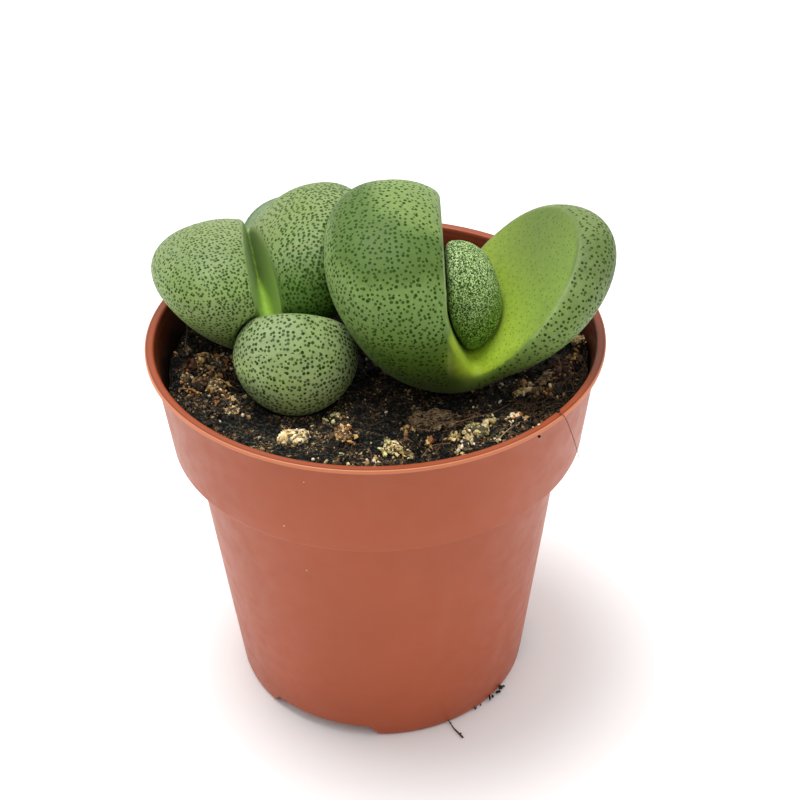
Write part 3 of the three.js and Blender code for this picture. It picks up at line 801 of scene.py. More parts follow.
def ball(detail):
    """Points and triangles of a round ball."""
    shape = bmesh.new()
    bmesh.ops.create_icosphere(shape, subdivisions=detail, radius=1)
    points = np.array([v.co[:] for v in shape.verts])
    faces = np.array([[v.index for v in f.verts] for f in shape.faces])
    shape.free()
    return points, faces


def random_turns(random, count):
    """Evenly spread rotations as matrices, from random quaternions."""
    a, b, c, d = unit(random.normal(size=(count, 4))).T
    return np.stack(
        [
            np.stack([1 - 2 * (c * c + d * d), 2 * (b * c - d * a), 2 * (b * d + c * a)], -1),
            np.stack([2 * (b * c + d * a), 1 - 2 * (b * b + d * d), 2 * (c * d - b * a)], -1),
            np.stack([2 * (b * d - c * a), 2 * (c * d + b * a), 1 - 2 * (b * b + c * c)], -1),
        ],
        1,
    )


def make_crumbs(name, places, sizes, colours, seed, detail=1, uneven=0.3):
    """Many small uneven stones in one mesh, each with its own tint."""
    random = np.random.default_rng(seed)
    points, faces = ball(detail)
    count = len(places)
    wave = random.uniform(1.6, 3.6, (count, 1, 3))
    phase = random.uniform(0, TURN, (count, 1, 3))
    push = 1 + uneven * np.sin(points * wave + phase).sum(-1) / 1.7
    broken = random.uniform(0.62, 1.25, (count, len(points), 1)) if detail < 2 else 1
    shaped = points * random.uniform(0.45, 1.3, (count, 1, 3)) * push[..., None] * broken
    turned_points = np.einsum("nij,npj->npi", random_turns(random, count), shaped)
    placed = turned_points * np.asarray(sizes)[:, None, None] + np.asarray(places)[:, None, :]
    starts = np.arange(count)[:, None, None] * len(points)
    piece = add_mesh(name, placed.reshape(-1, 3), (faces + starts).reshape(-1, 3), smooth=detail > 1)
    add_attribute(piece, "tint", "FLOAT_COLOR", np.repeat(opaque(colours), len(points), 0))
    return piece


def on_ground(x, y, sizes, sink=0.2):
    """Places for crumbs that rest on the soil, and which of them are clear of the leaves and of the wall."""
    z = ground(x, y) + sizes * (1 - sink) - 0.1
    places = np.stack([x, y, z], -1)
    clear = (heads_distance(places) > sizes) & (np.hypot(x, y) < inner_radius(z) - sizes - CLEARANCE)
    return places, clear


def tones(*colours):
    return [srgb(*colour) for colour in colours]


BROWNS = tones((52, 40, 27), (84, 64, 42), (118, 90, 58), (30, 23, 17), (150, 116, 76))
PEAT = tones((16, 14, 12), (27, 22, 17), (44, 35, 26), (12, 12, 11), (38, 42, 36), (78, 60, 42))
GOLDS = tones((186, 140, 78), (206, 168, 104), (160, 108, 56), (226, 198, 142), (140, 88, 46))
CREAMS = tones((236, 216, 168), (222, 196, 140), (242, 230, 200), (204, 170, 104))
GREENISH = tones((206, 196, 128), (178, 168, 100), (226, 214, 160), (150, 130, 74))
TERRACOTTA = tones((160, 98, 56), (126, 76, 44), (186, 122, 74), (92, 60, 38))

# Heaps of crumbs: place, radius, height, count, crumb size, colours
HEAPS = [
    (-28.7, 3.4, 2.6, 1.2, 34, 0.44, GOLDS + CREAMS),
    (-31.6, 0.4, 3.4, 1.4, 60, 0.42, GOLDS + CREAMS + BROWNS),
    (-34.8, 1.2, 2.2, 1.1, 22, 0.42, TERRACOTTA),
    (-30.6, -4.0, 3.6, 1.3, 70, 0.40, GOLDS + BROWNS),
    (-28.0, -8.4, 3.2, 1.0, 52, 0.36, GOLDS + CREAMS + BROWNS),
    (-34.4, -5.0, 2.8, 0.8, 34, 0.36, BROWNS + GOLDS),
    (-33.0, -11.5, 3.4, 0.6, 34, 0.36, BROWNS),
    (-6.6, -20.4, 2.0, 1.0, 30, 0.36, GOLDS),
    (-5.0, -22.8, 1.8, 0.8, 22, 0.34, GOLDS + TERRACOTTA),
    (-7.6, -15.5, 2.6, 0.6, 34, 0.26, BROWNS + GREENISH),
    (2.2, -25.6, 2.2, 1.0, 34, 0.36, GREENISH),
    (4.8, -26.6, 2.0, 0.7, 20, 0.36, GOLDS + GREENISH),
    (-0.6, -28.4, 2.0, 0.5, 22, 0.30, CREAMS + BROWNS),
    (-6.0, -28.4, 2.2, 0.6, 20, 0.32, GREENISH + BROWNS),
    (5.4, -20.0, 1.2, 0.8, 12, 0.42, GOLDS),
    (9.0, -22.6, 1.0, 0.7, 9, 0.42, GOLDS),
    (13.6, -22.4, 1.6, 0.6, 16, 0.34, GOLDS + GREENISH),
    (17.6, -21.0, 2.0, 1.0, 34, 0.36, GREENISH + CREAMS),
    (19.9, -18.8, 1.5, 0.9, 20, 0.36, GREENISH + CREAMS),
    (15.8, -24.4, 1.3, 0.7, 16, 0.34, CREAMS),
    (14.4, -26.4, 1.2, 0.6, 14, 0.34, CREAMS),
    (24.8, -19.6, 1.9, 1.1, 28, 0.42, TERRACOTTA + CREAMS),
    (25.8, -11.0, 1.5, 0.9, 14, 0.46, CREAMS + GOLDS),
    (28.2, -9.6, 2.4, 0.9, 34, 0.38, GOLDS + CREAMS),
    (30.6, -13.0, 3.2, 0.9, 50, 0.36, BROWNS + GOLDS),
    (34.4, -8.0, 2.4, 1.1, 30, 0.40, TERRACOTTA + BROWNS),
    (37.0, -3.4, 2.4, 0.8, 26, 0.38, BROWNS + GOLDS),
    (38.2, 1.4, 1.8, 1.1, 26, 0.42, GOLDS + CREAMS),
    (31.4, -20.0, 2.4, 0.6, 26, 0.34, BROWNS),
    (21.6, -24.0, 2.2, 0.4, 18, 0.30, BROWNS + CREAMS),
]
HEAP_DENSITY = 2.5
HEAP_CRUMB = 0.68
SCATTER_SEED = 4021
SCATTER_RADIUS = 39.5
DARK_CRUMBS = 3600
LIGHT_SPECKS = 620
DARK_SHARE = 0.33


def heap_crumbs():
    random = np.random.default_rng(SCATTER_SEED)
    places, sizes, colours = [], [], []
    for x, y, radius, height, count, size, tints in HEAPS:
        count = int(HEAP_DENSITY * count)
        away = radius * np.sqrt(random.uniform(0, 1, count)) * random.uniform(0.5, 1.15, count)
        angle = random.uniform(0, TURN, count)
        px, py = x + away * np.cos(angle), y + away * np.sin(angle)
        crumb = HEAP_CRUMB * size * random.lognormal(0, 0.5, count).clip(0.35, 2.4)
        spots, clear = on_ground(px, py, crumb)
        spots[:, 2] += height * np.maximum(1 - (away / radius) ** 2, 0) * random.uniform(0, 1, count)
        clear &= heads_distance(spots) > crumb
        places.append(spots[clear])
        sizes.append(crumb[clear])
        picked = np.array(tints)[random.integers(0, len(tints), count)][clear]
        colours.append(picked * mixed_shades(random, clear.sum()))
    return np.concatenate(places), np.concatenate(sizes), np.concatenate(colours)


def mixed_shades(random, count):
    """Most shades light, and a third of them dark, as painted shade in the gaps between the crumbs."""
    dark = random.uniform(0, 1, count) < DARK_SHARE
    return np.where(dark, random.uniform(0.05, 0.3, count), random.uniform(0.9, 1.6, count))[:, None]


def scattered_crumbs(count, size, spread, tints, seed):
    random = np.random.default_rng(seed)
    away = SCATTER_RADIUS * np.sqrt(random.uniform(0, 1, count))
    angle = random.uniform(0, TURN, count)
    crumb = size * random.lognormal(0, spread, count).clip(0.4, 2.6)
    x, y = away * np.cos(angle), away * np.sin(angle)
    spots, clear = on_ground(x, y, crumb, 0.5)
    px, py, radius = SMOOTH_PATCH
    clear &= (np.hypot(x - px, y - py) > radius * 0.75) | (random.uniform(0, 1, count) < 0.25)
    shades = np.array(tints)[random.integers(0, len(tints), count)] * random.uniform(0.6, 1.2, (count, 1))
    return spots[clear], crumb[clear], shades[clear]


# Single light grains: place and size
BEADS = [
    (25.9, -11.5, 0.62), (25.2, -10.2, 0.42), (27.1, -8.1, 0.5), (28.3, -10.7, 0.4), (22.3, -13.1, 0.36),
    (-11.3, -28.4, 0.4), (-7.0, -21.3, 0.34), (-0.8, -28.0, 0.4), (-24.4, -13.6, 0.36), (16.4, -20.0, 0.4),
]


def bead_crumbs():
    x, y, size = np.array(BEADS).T
    spots, clear = on_ground(x, y, size, 0.0)
    return spots[clear], size[clear], np.array([srgb(240, 226, 196)] * len(BEADS))[clear]


def tube(path, radii, sides=5):
    """A thin round body along a path, closed at both ends."""
    path, radii = np.asarray(path, float), np.asarray(radii, float)
    along = unit(np.gradient(path, axis=0))
    side = unit(np.cross(along, [0.31, 0.17, 0.93]))
    other = np.cross(along, side)
    angles = np.arange(sides) * TURN / sides
    rings = path[:, None] + radii[:, None, None] * (
        np.cos(angles)[None, :, None] * side[:, None] + np.sin(angles)[None, :, None] * other[:, None]
    )
    faces = [
        (i * sides + j, i * sides + (j + 1) % sides, (i + 1) * sides + (j + 1) % sides, (i + 1) * sides + j)
        for i in range(len(path) - 1)
        for j in range(sides)
    ]
    last = (len(path) - 1) * sides
    faces += [tuple(range(sides))[::-1], tuple(range(last, last + sides))]
    return rings.reshape(-1, 3), faces


def eased_path(corners, count):
    """A smooth path through a few points."""
    corners = np.asarray(corners, float)
    padded = np.concatenate([[2 * corners[0] - corners[1]], corners, [2 * corners[-1] - corners[-2]]])
    spans = len(corners) - 1
    result = []
    for t in np.linspace(0, spans, count):
        i = min(int(t), spans - 1)
        f = t - i
        a, b, c, d = padded[i : i + 4]
        square, cube = 2 * a - 5 * b + 4 * c - d, 3 * b - a - 3 * c + d
        result.append(0.5 * (2 * b + (c - a) * f + square * f**2 + cube * f**3))
    return np.array(result)


# Patches of fine roots and fibres: place, radius, count, length, thickness, colour
FIBRE_PATCHES = [
    (31.5, -14.0, 5.0, 60, 5.5, 0.075, srgb(112, 84, 58)),
    (36.0, -6.5, 3.0, 34, 5.5, 0.08, srgb(126, 88, 58)),
    (26.0, -17.5, 3.5, 26, 4.5, 0.06, srgb(118, 92, 64)),
    (22.0, -23.5, 3.0, 12, 4.0, 0.06, srgb(118, 96, 74)),
    (14.5, -19.6, 3.5, 18, 5.0, 0.08, srgb(112, 78, 52)),
    (-20.5, -21.5, 4.6, 14, 6.0, 0.05, srgb(74, 80, 72)),
    (-31.0, -2.0, 4.5, 34, 4.5, 0.065, srgb(126, 92, 62)),
    (-26.0, -8.5, 3.0, 14, 5.0, 0.05, srgb(96, 96, 88)),
    (-3.5, -23.0, 6.0, 18, 4.0, 0.06, srgb(104, 84, 62)),
    (0.0, 28.0, 12.0, 30, 5.0, 0.07, srgb(110, 80, 56)),
    (24.0, 22.0, 12.0, 30, 5.0, 0.07, srgb(110, 80, 56)),
]

# Single hairs: thickness, colour, corners of the path
HAIRS = [
    (0.085, srgb(120, 60, 44), (30.4, -27.2, 75.2), (31.2, -28.0, 77.15), (32.0, -29.0, 76.9),
     (32.9, -30.0, 74.9), (33.8, -31.2, 72.4), (34.3, -32.0, 70.6)),
    (0.07, srgb(176, 150, 130), (31.6, -2.4, 71.6), (33.6, -5.4, 73.2), (33.8, -8.2, 71.6),
     (34.6, -9.6, 71.0)),
    (0.06, srgb(150, 110, 88), (34.0, -5.0, 72.0), (36.0, -4.4, 73.0), (38.0, -5.6, 73.2),
     (38.6, -8.6, 72.0)),
    (0.1, srgb(196, 176, 138), (20.4, -25.4, 69.0), (22.4, -23.2, 69.9), (24.4, -20.6, 69.6)),
    (0.09, srgb(128, 98, 70), (10.5, -19.6, 69.8), (13.4, -20.6, 70.3), (17.0, -19.0, 70.2),
     (20.6, -17.2, 69.8), (24.0, -14.2, 69.6)),
    (0.08, srgb(136, 108, 82), (7.4, -28.8, 69.0), (9.4, -26.4, 69.7), (12.4, -25.4, 69.4)),
    (0.07, srgb(150, 118, 84), (-36.4, 6.0, 70.2), (-36.0, 8.6, 72.2), (-36.4, 11.4, 73.6)),
]
FIBRE_STEPS = 11
HAIR_STEPS = 26


def make_fibres():
    random = np.random.default_rng(SCATTER_SEED + 9)
    bodies, tints = [], []
    for x, y, radius, count, length, thickness, colour in FIBRE_PATCHES:
        for _ in range(count):
            away, angle = radius * math.sqrt(random.uniform()), random.uniform(0, TURN)
            heading, bend = random.uniform(0, TURN), random.uniform(-1.3, 1.3)
            reach = length * random.uniform(0.5, 1.3)
            px, py = [x + away * math.cos(angle)], [y + away * math.sin(angle)]
            for k in range(FIBRE_STEPS - 1):
                turn = heading + bend * k / FIBRE_STEPS
                px.append(px[-1] + reach / FIBRE_STEPS * math.cos(turn))
                py.append(py[-1] + reach / FIBRE_STEPS * math.sin(turn))
            px, py = np.array(px), np.array(py)
            arch = random.uniform(0.1, 1.1) * np.sin(np.linspace(0, math.pi, FIBRE_STEPS))
            path = np.stack([px, py, ground(px, py) + thickness + arch], -1)
            clear = (heads_distance(path) > thickness).all()
            if clear and (np.hypot(px, py) < inner_radius(path[:, 2]) - 2 * thickness).all():
                bodies.append(tube(path, thickness * np.linspace(1.2, 0.5, FIBRE_STEPS), 4))
                tints.append(np.array(colour) * random.uniform(0.55, 1.25))
    for thickness, colour, *corners in HAIRS:
        path = eased_path(corners, HAIR_STEPS)
        bodies.append(tube(path, thickness * np.linspace(1.0, 0.55, HAIR_STEPS), 6))
        tints.append(np.array(colour))
    piece = add_mesh("soil_fibres", *joined_lists(bodies))
    counts = [len(points) for points, _ in bodies]
    add_attribute(piece, "tint", "FLOAT_COLOR", np.repeat(opaque(tints), counts, 0))
    return piece


# Mineral lumps and bark flakes, which stand for the frame's plain ones

# Light mineral lumps: number of grains, their colours
LUMPS = {
    "mineral_lump_cream": (520, CREAMS + GOLDS[3:4]),
    "mineral_lump_front": (300, GREENISH + CREAMS),
    "mineral_lump_golden_1": (320, GREENISH + CREAMS),
    "mineral_lump_golden_2": (240, GOLDS + CREAMS[1:2]),
    "mineral_lump_left_1": (280, GOLDS + CREAMS),
    "mineral_lump_left_2": (220, GOLDS + TERRACOTTA[2:3] + CREAMS),
    "mineral_lump_left_3": (260, GOLDS + BROWNS[2:3] + CREAMS),
    "mineral_lump_left_4": (220, CREAMS + GOLDS),
    "mineral_lump_right": (240, GOLDS + CREAMS),
}


def node_box(name):
    low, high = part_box(name)
    return np.array(low) / MM, np.array(high) / MM


def make_lump(name, count, tints, seed):
    """A crumbly lump inside its node's box: an uneven core with small broken grains all over it."""
    random = np.random.default_rng(seed)
    low, high = node_box(name)
    middle, half = (low + high) / 2, (high - low) / 2
    core, core_faces = ball(4)
    bend = random.uniform(-1.3, 1.3, (4, 3))
    uneven = sum(np.sin(core @ b * (1.5 + i) + 2 * i + seed) / (2 + i) for i, b in enumerate(bend))
    uneven = (0.74 + 0.2 * uneven)[:, None]
    core = core * uneven * half + middle
    spots = random.integers(0, len(core), count)
    size = half.min() * 0.17 * random.lognormal(0, 0.4, count).clip(0.5, 1.9)
    grain, grain_faces = ball(1)
    broken = random.uniform(0.6, 1.3, (count, len(grain), 1))
    shaped = grain * broken * random.uniform(0.6, 1.3, (count, 1, 3))
    grains = np.einsum("nij,npj->npi", random_turns(random, count), shaped) * size[:, None, None]
    grains = grains + (middle + (core[spots] - middle) * random.uniform(0.9, 1.08, (count, 1)))[:, None]
    starts = len(core) + np.arange(count)[:, None, None] * len(grain)
    points = np.concatenate([core, grains.reshape(-1, 3)])
    faces = np.concatenate([core_faces, (grain_faces + starts).reshape(-1, 3)])
    piece = add_mesh(name + "_grains", np.clip(points, low, high), faces, smooth=False)
    shades = np.array(tints)[random.integers(0, len(tints), count)] * mixed_shades(random, count)
    # Painted shade: the core, seen in the gaps between the grains, is near black.
    dark = np.tile(0.16 * np.array(tints).mean(0) * [1.0, 0.85, 0.65], (len(core), 1))
    shades = np.concatenate([dark, np.repeat(shades, len(grain), 0)])
    add_attribute(piece, "tint", "FLOAT_COLOR", opaque(shades))
    return piece


def make_flake(name, length, width, turn, tilt, seed):
    """Torn, crumpled layers of bark in the place of a plain flake."""
    low, high = node_box(name)
    middle = (low + high) / 2
    turn, tilt = math.radians(turn), math.radians(tilt)
    along = np.array([math.cos(turn), math.sin(turn), 0])
    across = np.array([-math.sin(turn) * math.cos(tilt), math.cos(turn) * math.cos(tilt), math.sin(tilt)])
    up = np.cross(along, across)
    layers = [(0.0, 0.0, 0.0, 1.0), (0.12, 0.16, 0.34, 0.66), (-0.2, -0.1, 0.3, 0.5)]

    def form(points):
        offset = points - middle
        u, v, w = offset @ along, offset @ across, offset @ up
        value = np.full(u.shape, 9.0)
        for i, (du, dv, lift, share) in enumerate(layers):
            a = (u / length - du) / (0.47 * share)
            b = (v / width - dv) / (0.45 * share)
            angle = np.arctan2(b, a)
            ragged = 1 + 0.13 * np.sin(3 * angle + seed + i) + 0.1 * np.sin(7 * angle + 2 * i)
            ragged = ragged + 0.06 * np.sin(13 * angle)
            edge = (np.hypot(a, b) / ragged - 1) * 0.4 * width * share
            crumple = 0.26 * np.sin(1.5 * u + 0.9 * v + seed + 2 * i) + 0.2 * np.sin(2.3 * v - 1.1 * u + i)
            crumple = crumple + 0.1 * np.sin(4.3 * u + 1.2 * np.sin(2.1 * v)) + 0.06 * np.sin(9 * v + 2 * u)
            sheet = np.abs(w - lift - 0.75 * crumple) - 0.17
            value = np.minimum(value, smooth_max(sheet, edge, 0.2) * 0.8)
        return value

    points, faces = surface_net(form, low - 0.4, high + [0.4, 0.4, 0.8], 0.12)
    points, faces = largest_part(points, faces)
    return add_mesh(name + "_crumpled", points, faces)


# Crumbs that stick to the pot: place on its foot, rim and collar, size, dark or light
STUCK = [
    (23.9, -18.2, 1.2, 0.75, 0), (23.2, -19.0, 0.7, 0.5, 0), (24.4, -17.4, 0.6, 0.4, 0),
    (21.4, -20.7, 0.8, 0.6, 0), (22.1, -20.0, 0.45, 0.4, 0), (18.4, -23.1, 0.5, 0.45, 0),
    (19.4, -22.2, 0.4, 0.3, 0), (13.2, -26.7, 0.3, 0.28, 0), (15.0, -29.6, 0.3, 0.28, 0),
    (31.0, -27.2, 77.1, 0.3, 0), (27.3, -31.7, 75.2, 0.42, 0), (26.2, -31.6, 77.1, 0.22, 1),
    (27.2, -30.9, 77.1, 0.26, 1), (-12.5, -39.3, 72.6, 0.16, 1),
]
FOOT_FIBRE = [(12.6, -26.3, 0.9), (13.6, -28.0, 0.35), (14.6, -29.4, 0.2), (15.4, -30.6, 0.2)]


# Materials

class Shader:
    """A node tree of a material or a world, with one short call for each node."""

    def __init__(self, name, owner=None):
        self.material = owner or bpy.data.materials.new(name)
        self.material.use_nodes = True
        self.tree = self.material.node_tree
        self.tree.nodes.clear()

    def put(self, socket, value):
        if isinstance(value, bpy.types.NodeSocket):
            self.tree.links.new(value, socket)
        elif hasattr(socket.default_value, "__len__") and len(socket.default_value) == 4 and len(value) == 3:
            socket.default_value = (*value, 1.0)
        else:
            socket.default_value = value

    def node(self, kind, inputs, **settings):
        made = self.tree.nodes.new(kind)
        for key, value in settings.items():
            setattr(made, key, value)
        for key, value in inputs.items():
            self.put(made.inputs[key], value)
        return made

    def math(self, operation, a, b=0.0, clamp=False):
        return self.node("ShaderNodeMath", {0: a, 1: b}, operation=operation, use_clamp=clamp).outputs[0]

    def vector(self, operation, a, b):
        return self.node("ShaderNodeVectorMath", {0: a, 1: b}, operation=operation).outputs[0]

    def times(self, a, b):
        return self.math("MULTIPLY", a, b)

    def scaled(self, colour, factor):
        inputs = {0: colour, "Scale": factor}
        return self.node("ShaderNodeVectorMath", inputs, operation="SCALE").outputs[0]

    def attribute(self, name, output="Fac"):
        return self.node("ShaderNodeAttribute", {}, attribute_name=name).outputs[output]

    def parts(self, vector):
        return self.node("ShaderNodeSeparateXYZ", {0: vector}).outputs

    def place(self):
        """The point's place on the object, in millimetres."""
        coordinates = self.node("ShaderNodeTexCoord", {}).outputs["Object"]
        return self.vector("MULTIPLY", coordinates, (1 / MM, 1 / MM, 1 / MM))

    def noise(self, vector, scale, detail=3.0, roughness=0.55, distortion=0.0):
        inputs = {"Vector": vector, "Scale": scale, "Detail": detail, "Roughness": roughness}
        return self.node("ShaderNodeTexNoise", {**inputs, "Distortion": distortion}).outputs[0]

    def ramp(self, value, low, high, smooth=True, start=0.0, end=1.0):
        kind = "SMOOTHSTEP" if smooth else "LINEAR"
        inputs = {0: value, 1: low, 2: high, 3: start, 4: end}
        return self.node("ShaderNodeMapRange", inputs, interpolation_type=kind).outputs[0]

    def fall(self, value, low, high):
        """1 at the low value, 0 at the high one."""
        return self.ramp(value, low, high, True, 1.0, 0.0)

    def stops(self, value, colours):
        """Display colours at falling values, each after its value, blended from each to the next."""
        (start, *first), *rest = colours
        colour = srgb(*first)
        for end, *after in rest:
            colour = self.mix(self.fall(value, end, start), colour, srgb(*after))
            start = end
        return colour

    def mix_value(self, share, a, b):
        return self.ramp(share, 0.0, 1.0, False, a, b)

    def mix(self, share, a, b, blend="MIX"):
        made = self.node("ShaderNodeMix", {0: share, 6: a, 7: b}, data_type="RGBA", blend_type=blend)
        return made.outputs[2]

    def bump(self, height, distance, strength=1.0):
        inputs = {"Height": height, "Distance": distance, "Strength": strength}
        return self.node("ShaderNodeBump", inputs).outputs[0]

    def finish(self, **inputs):
        """The surface shader. Names are its sockets with _ for a space."""
        sockets = {key.replace("_", " "): value for key, value in inputs.items()}
        surface = self.node("ShaderNodeBsdfPrincipled", sockets)
        self.node("ShaderNodeOutputMaterial", {"Surface": surface.outputs[0]})
        return self.material


DOT_COLOUR = srgb(24, 58, 0)


def leaf_material(name, looks, faces, dots, low):
    """looks: back colours of the two leaves on the way round, from 1 on top over 0 outside to the underside.
    Besides the leaves' own colour they hold painted light and shade, lighter and darker bands that stand for
    how light falls
    on the way round. faces: colours of the two flat faces high up, of both low down, and of the rims; the rim
    colour is a painted highlight along the rounded edge, and the low colour is also painted round the cleft's
    floor as a
    glow. dots: spacing, radius and strength on the back, the same on the face, the strength of the web
    between the dots, and how wide the second leaf's dots are against the first's. low: the heights where the
    dots are gone and start to fade."""
    s = Shader(name)
    spacing, radius, strength, face_spacing, face_radius, face_strength, weave, growth = dots
    zone = s.parts(s.attribute("zone", "Vector"))
    second, glow, floor = s.parts(s.attribute("shares", "Vector"))
    place = s.attribute("dot_place", "Vector")
    side = s.attribute("side_place", "Vector")
    height = s.parts(side)[2]
    turn, front, _ = s.parts(s.attribute("lie", "Vector"))
    where = s.place()
    near_rim = s.math("LESS_THAN", s.parts(place)[2], 0.25)

    def dot_layer(gap, size, softness, chosen=0.0):
        flat = s.mix(chosen, place, side)
        stretch = s.mix(chosen, s.attribute("dot_metric", "Vector"), s.attribute("side_metric", "Vector"))
        terms = s.parts(stretch)
        cells = s.node("ShaderNodeTexVoronoi", {"Vector": flat, "Scale": 1 / gap, "Randomness": 0.8},
                       voronoi_dimensions="2D")
        away = s.parts(s.vector("SUBTRACT", flat, cells.outputs["Position"]))
        xx = s.times(s.times(away[0], away[0]), terms[0])
        xy = s.times(s.times(away[0], away[1]), terms[1])
        yy = s.times(s.times(away[1], away[1]), terms[2])
        square = s.math("ADD", s.math("ADD", xx, yy), s.math("ADD", xy, xy))
        distance = s.math("SQRT", s.math("MAXIMUM", square, 0.0))
        ragged = s.times(s.math("SUBTRACT", s.noise(where, 3.1, 2.0), 0.5), size * 0.6)
        chance = s.parts(cells.outputs["Color"])
        reach = s.ramp(chance[0], 0.0, 1.0, False, size * 0.7, size * 1.25)
        reach = s.times(reach, s.mix_value(second, 1.0, growth))
        inner = s.math("SUBTRACT", reach, softness)
        outer = s.math("ADD", reach, softness)
        dot = s.fall(s.math("ADD", distance, ragged), inner, outer)
        return s.times(dot, s.ramp(chance[1], 0.0, 1.0, False, 0.75, 1.0))

    cloud = s.noise(where, 0.11, 3.0)
    mottle = s.noise(where, 0.9, 4.0, 0.6)
    fine = s.noise(where, 5.0, 3.0, 0.6)
    turn = s.math("ADD", turn, s.ramp(cloud, 0.3, 0.7, False, -0.05, 0.05))
    # Painted light and shade: the back's colour changes on the way round in lighter and darker bands that
    # stand for how light falls, on top of the leaves' own colour.
    back = s.mix(second, s.stops(turn, looks[0]), s.stops(turn, looks[1]))
    back = s.mix(s.ramp(cloud, 0.35, 0.68), back, s.mix(1.0, back, (0.88, 0.94, 0.74), "MULTIPLY"))
    face = s.mix(s.ramp(height, -0.75, 0.45), faces[2], s.mix(second, faces[0], faces[1]))
    face_light = s.ramp(front, -0.5, 0.5, False, 0.8, 1.18)
    face = s.scaled(face, face_light)
    skin = s.mix(zone[1], back, face)
    # Painted highlight: a pale colour along the rims, weaker on the second leaf.
    rim_share = s.times(s.times(zone[2], s.math("SUBTRACT", 1.0, glow)), s.mix_value(second, 0.8, 0.3))
    skin = s.mix(s.times(rim_share, s.ramp(height, -0.5, -0.1)), skin, faces[3])
    up = s.parts(where)[2]
    # Painted glow: the low face colour spread round the cleft's floor, as of light shining through the leaf.
    glow = s.times(glow, s.ramp(up, 75.0, 79.0))
    glow = s.times(glow, s.mix_value(second, s.fall(up, 79.5, 87.0), 1.0))
    skin = s.mix(glow, skin, faces[2])
    grain = s.math("ADD", s.times(mottle, 0.5), s.times(fine, 0.5))
    light = s.ramp(grain, 0.34, 0.66, False, 0.82, 1.2)
    skin = s.scaled(skin, light)

    back_dots = s.times(dot_layer(spacing, radius, 0.05, near_rim), zone[0])
    face_dots = s.times(dot_layer(face_spacing, face_radius, 0.06), zone[1])
    back_dots = s.times(back_dots, s.ramp(height, *low))
    dark = s.math("ADD", s.times(back_dots, strength), s.times(face_dots, face_strength), True)
    if weave:
        web = s.ramp(s.noise(where, 3.3, 2.0, 0.6, 0.9), 0.46, 0.53)
        web = s.times(s.times(web, zone[0]), s.ramp(height, *low))
        dark = s.math("MAXIMUM", dark, s.times(web, weave))
    skin = s.mix(dark, skin, DOT_COLOUR)
    bump = s.bump(s.math("ADD", s.times(fine, 0.5), s.times(back_dots, -0.35)), 0.00006)
    rough = s.ramp(mottle, 0.3, 0.7, False, 0.48, 0.6)
    return s.finish(
        Base_Color=skin, Roughness=rough, Normal=bump, IOR=1.4,
        Specular_IOR_Level=s.ramp(dark, 0.0, 1.0, False, 0.36, 0.08),
        Sheen_Weight=s.ramp(dark, 0.0, 1.0, False, 0.09, 0.0), Sheen_Roughness=0.4,
        Sheen_Tint=(0.85, 1.0, 0.68),
    )


# Each pair's back colours on the way round hold painted light and shade besides the leaves' own colour; the
# rim colour is a painted highlight.
leaf_looks = {
    "right_head_outer_pair": leaf_material(
        "spotted_old_leaf",
        (
            [(1.1, 124, 143, 84), (1.0, 116, 138, 75), (0.8, 79, 104, 42), (0.58, 79, 104, 40),
             (0.38, 114, 140, 76), (0.13, 115, 145, 72), (-0.1, 84, 114, 36), (-0.3, 80, 106, 33)],
            [(1.0, 107, 123, 70), (0.82, 92, 112, 57), (0.68, 101, 118, 67), (0.55, 120, 138, 86),
             (0.25, 124, 148, 79), (-0.2, 110, 136, 60)],
        ),
        (srgb(90, 118, 48), srgb(108, 132, 54), srgb(172, 198, 52), srgb(190, 206, 150)),
        (0.94, 0.25, 0.97, 1.2, 0.16, 0.55, 0.0, 0.92),
        (-0.8, -0.5),
    ),
    "right_head_inner_pair": leaf_material(
        "densely_spotted_young_leaf",
        (
            [(1.0, 184, 206, 150), (0.2, 184, 212, 142), (-0.1, 156, 190, 96), (-0.5, 96, 132, 36)],
            [(1.0, 184, 206, 152), (0.2, 176, 202, 138), (-0.2, 130, 160, 80), (-0.5, 80, 112, 30)],
        ),
        (srgb(104, 138, 48), srgb(104, 138, 48), srgb(104, 138, 48), srgb(196, 210, 160)),
        (0.5, 0.14, 0.9, 0.9, 0.13, 0.5, 0.95, 1.0),
        (-0.6, -0.3),
    ),
    "left_head_outer_pair": leaf_material(
        "pale_spotted_leaf",
        (
            [(1.15, 122, 136, 94), (0.95, 140, 156, 110), (0.72, 160, 178, 124), (0.53, 188, 208, 142),
             (0.4, 190, 211, 150), (0.15, 160, 180, 124)],
            [(1.0, 104, 122, 92), (0.0, 104, 122, 92)],
        ),
        (srgb(108, 128, 92), srgb(108, 128, 92), srgb(108, 128, 92), srgb(140, 158, 112)),
        (0.86, 0.26, 0.97, 1.4, 0.13, 0.4, 0.0, 1.0),
        (-0.85, -0.6),
    ),
    "left_head_inner_pair": leaf_material(
        "finely_spotted_leaf",
        (
            [(1.0, 130, 143, 97), (0.7, 120, 137, 90), (0.45, 123, 143, 87), (0.2, 142, 165, 100),
             (0.03, 157, 181, 112), (-0.3, 138, 162, 94)],
            [(1.0, 121, 138, 82), (0.42, 122, 141, 88), (0.28, 108, 131, 78), (0.17, 97, 122, 62),
             (0.0, 80, 112, 42), (-0.3, 64, 94, 26)],
        ),
        (srgb(118, 147, 70), srgb(122, 157, 60), srgb(158, 192, 72), srgb(162, 190, 106)),
        (0.72, 0.22, 0.97, 1.4, 0.1, 0.1, 0.0, 1.2),
        (-0.85, -0.5),
    ),
}


# Other looks

# How much the collar's wall widens for each mm up, and where its inner face begins and ends by that measure
WALL_SLOPE = 0.1117
INNER_FACE = (32.25, 32.45)


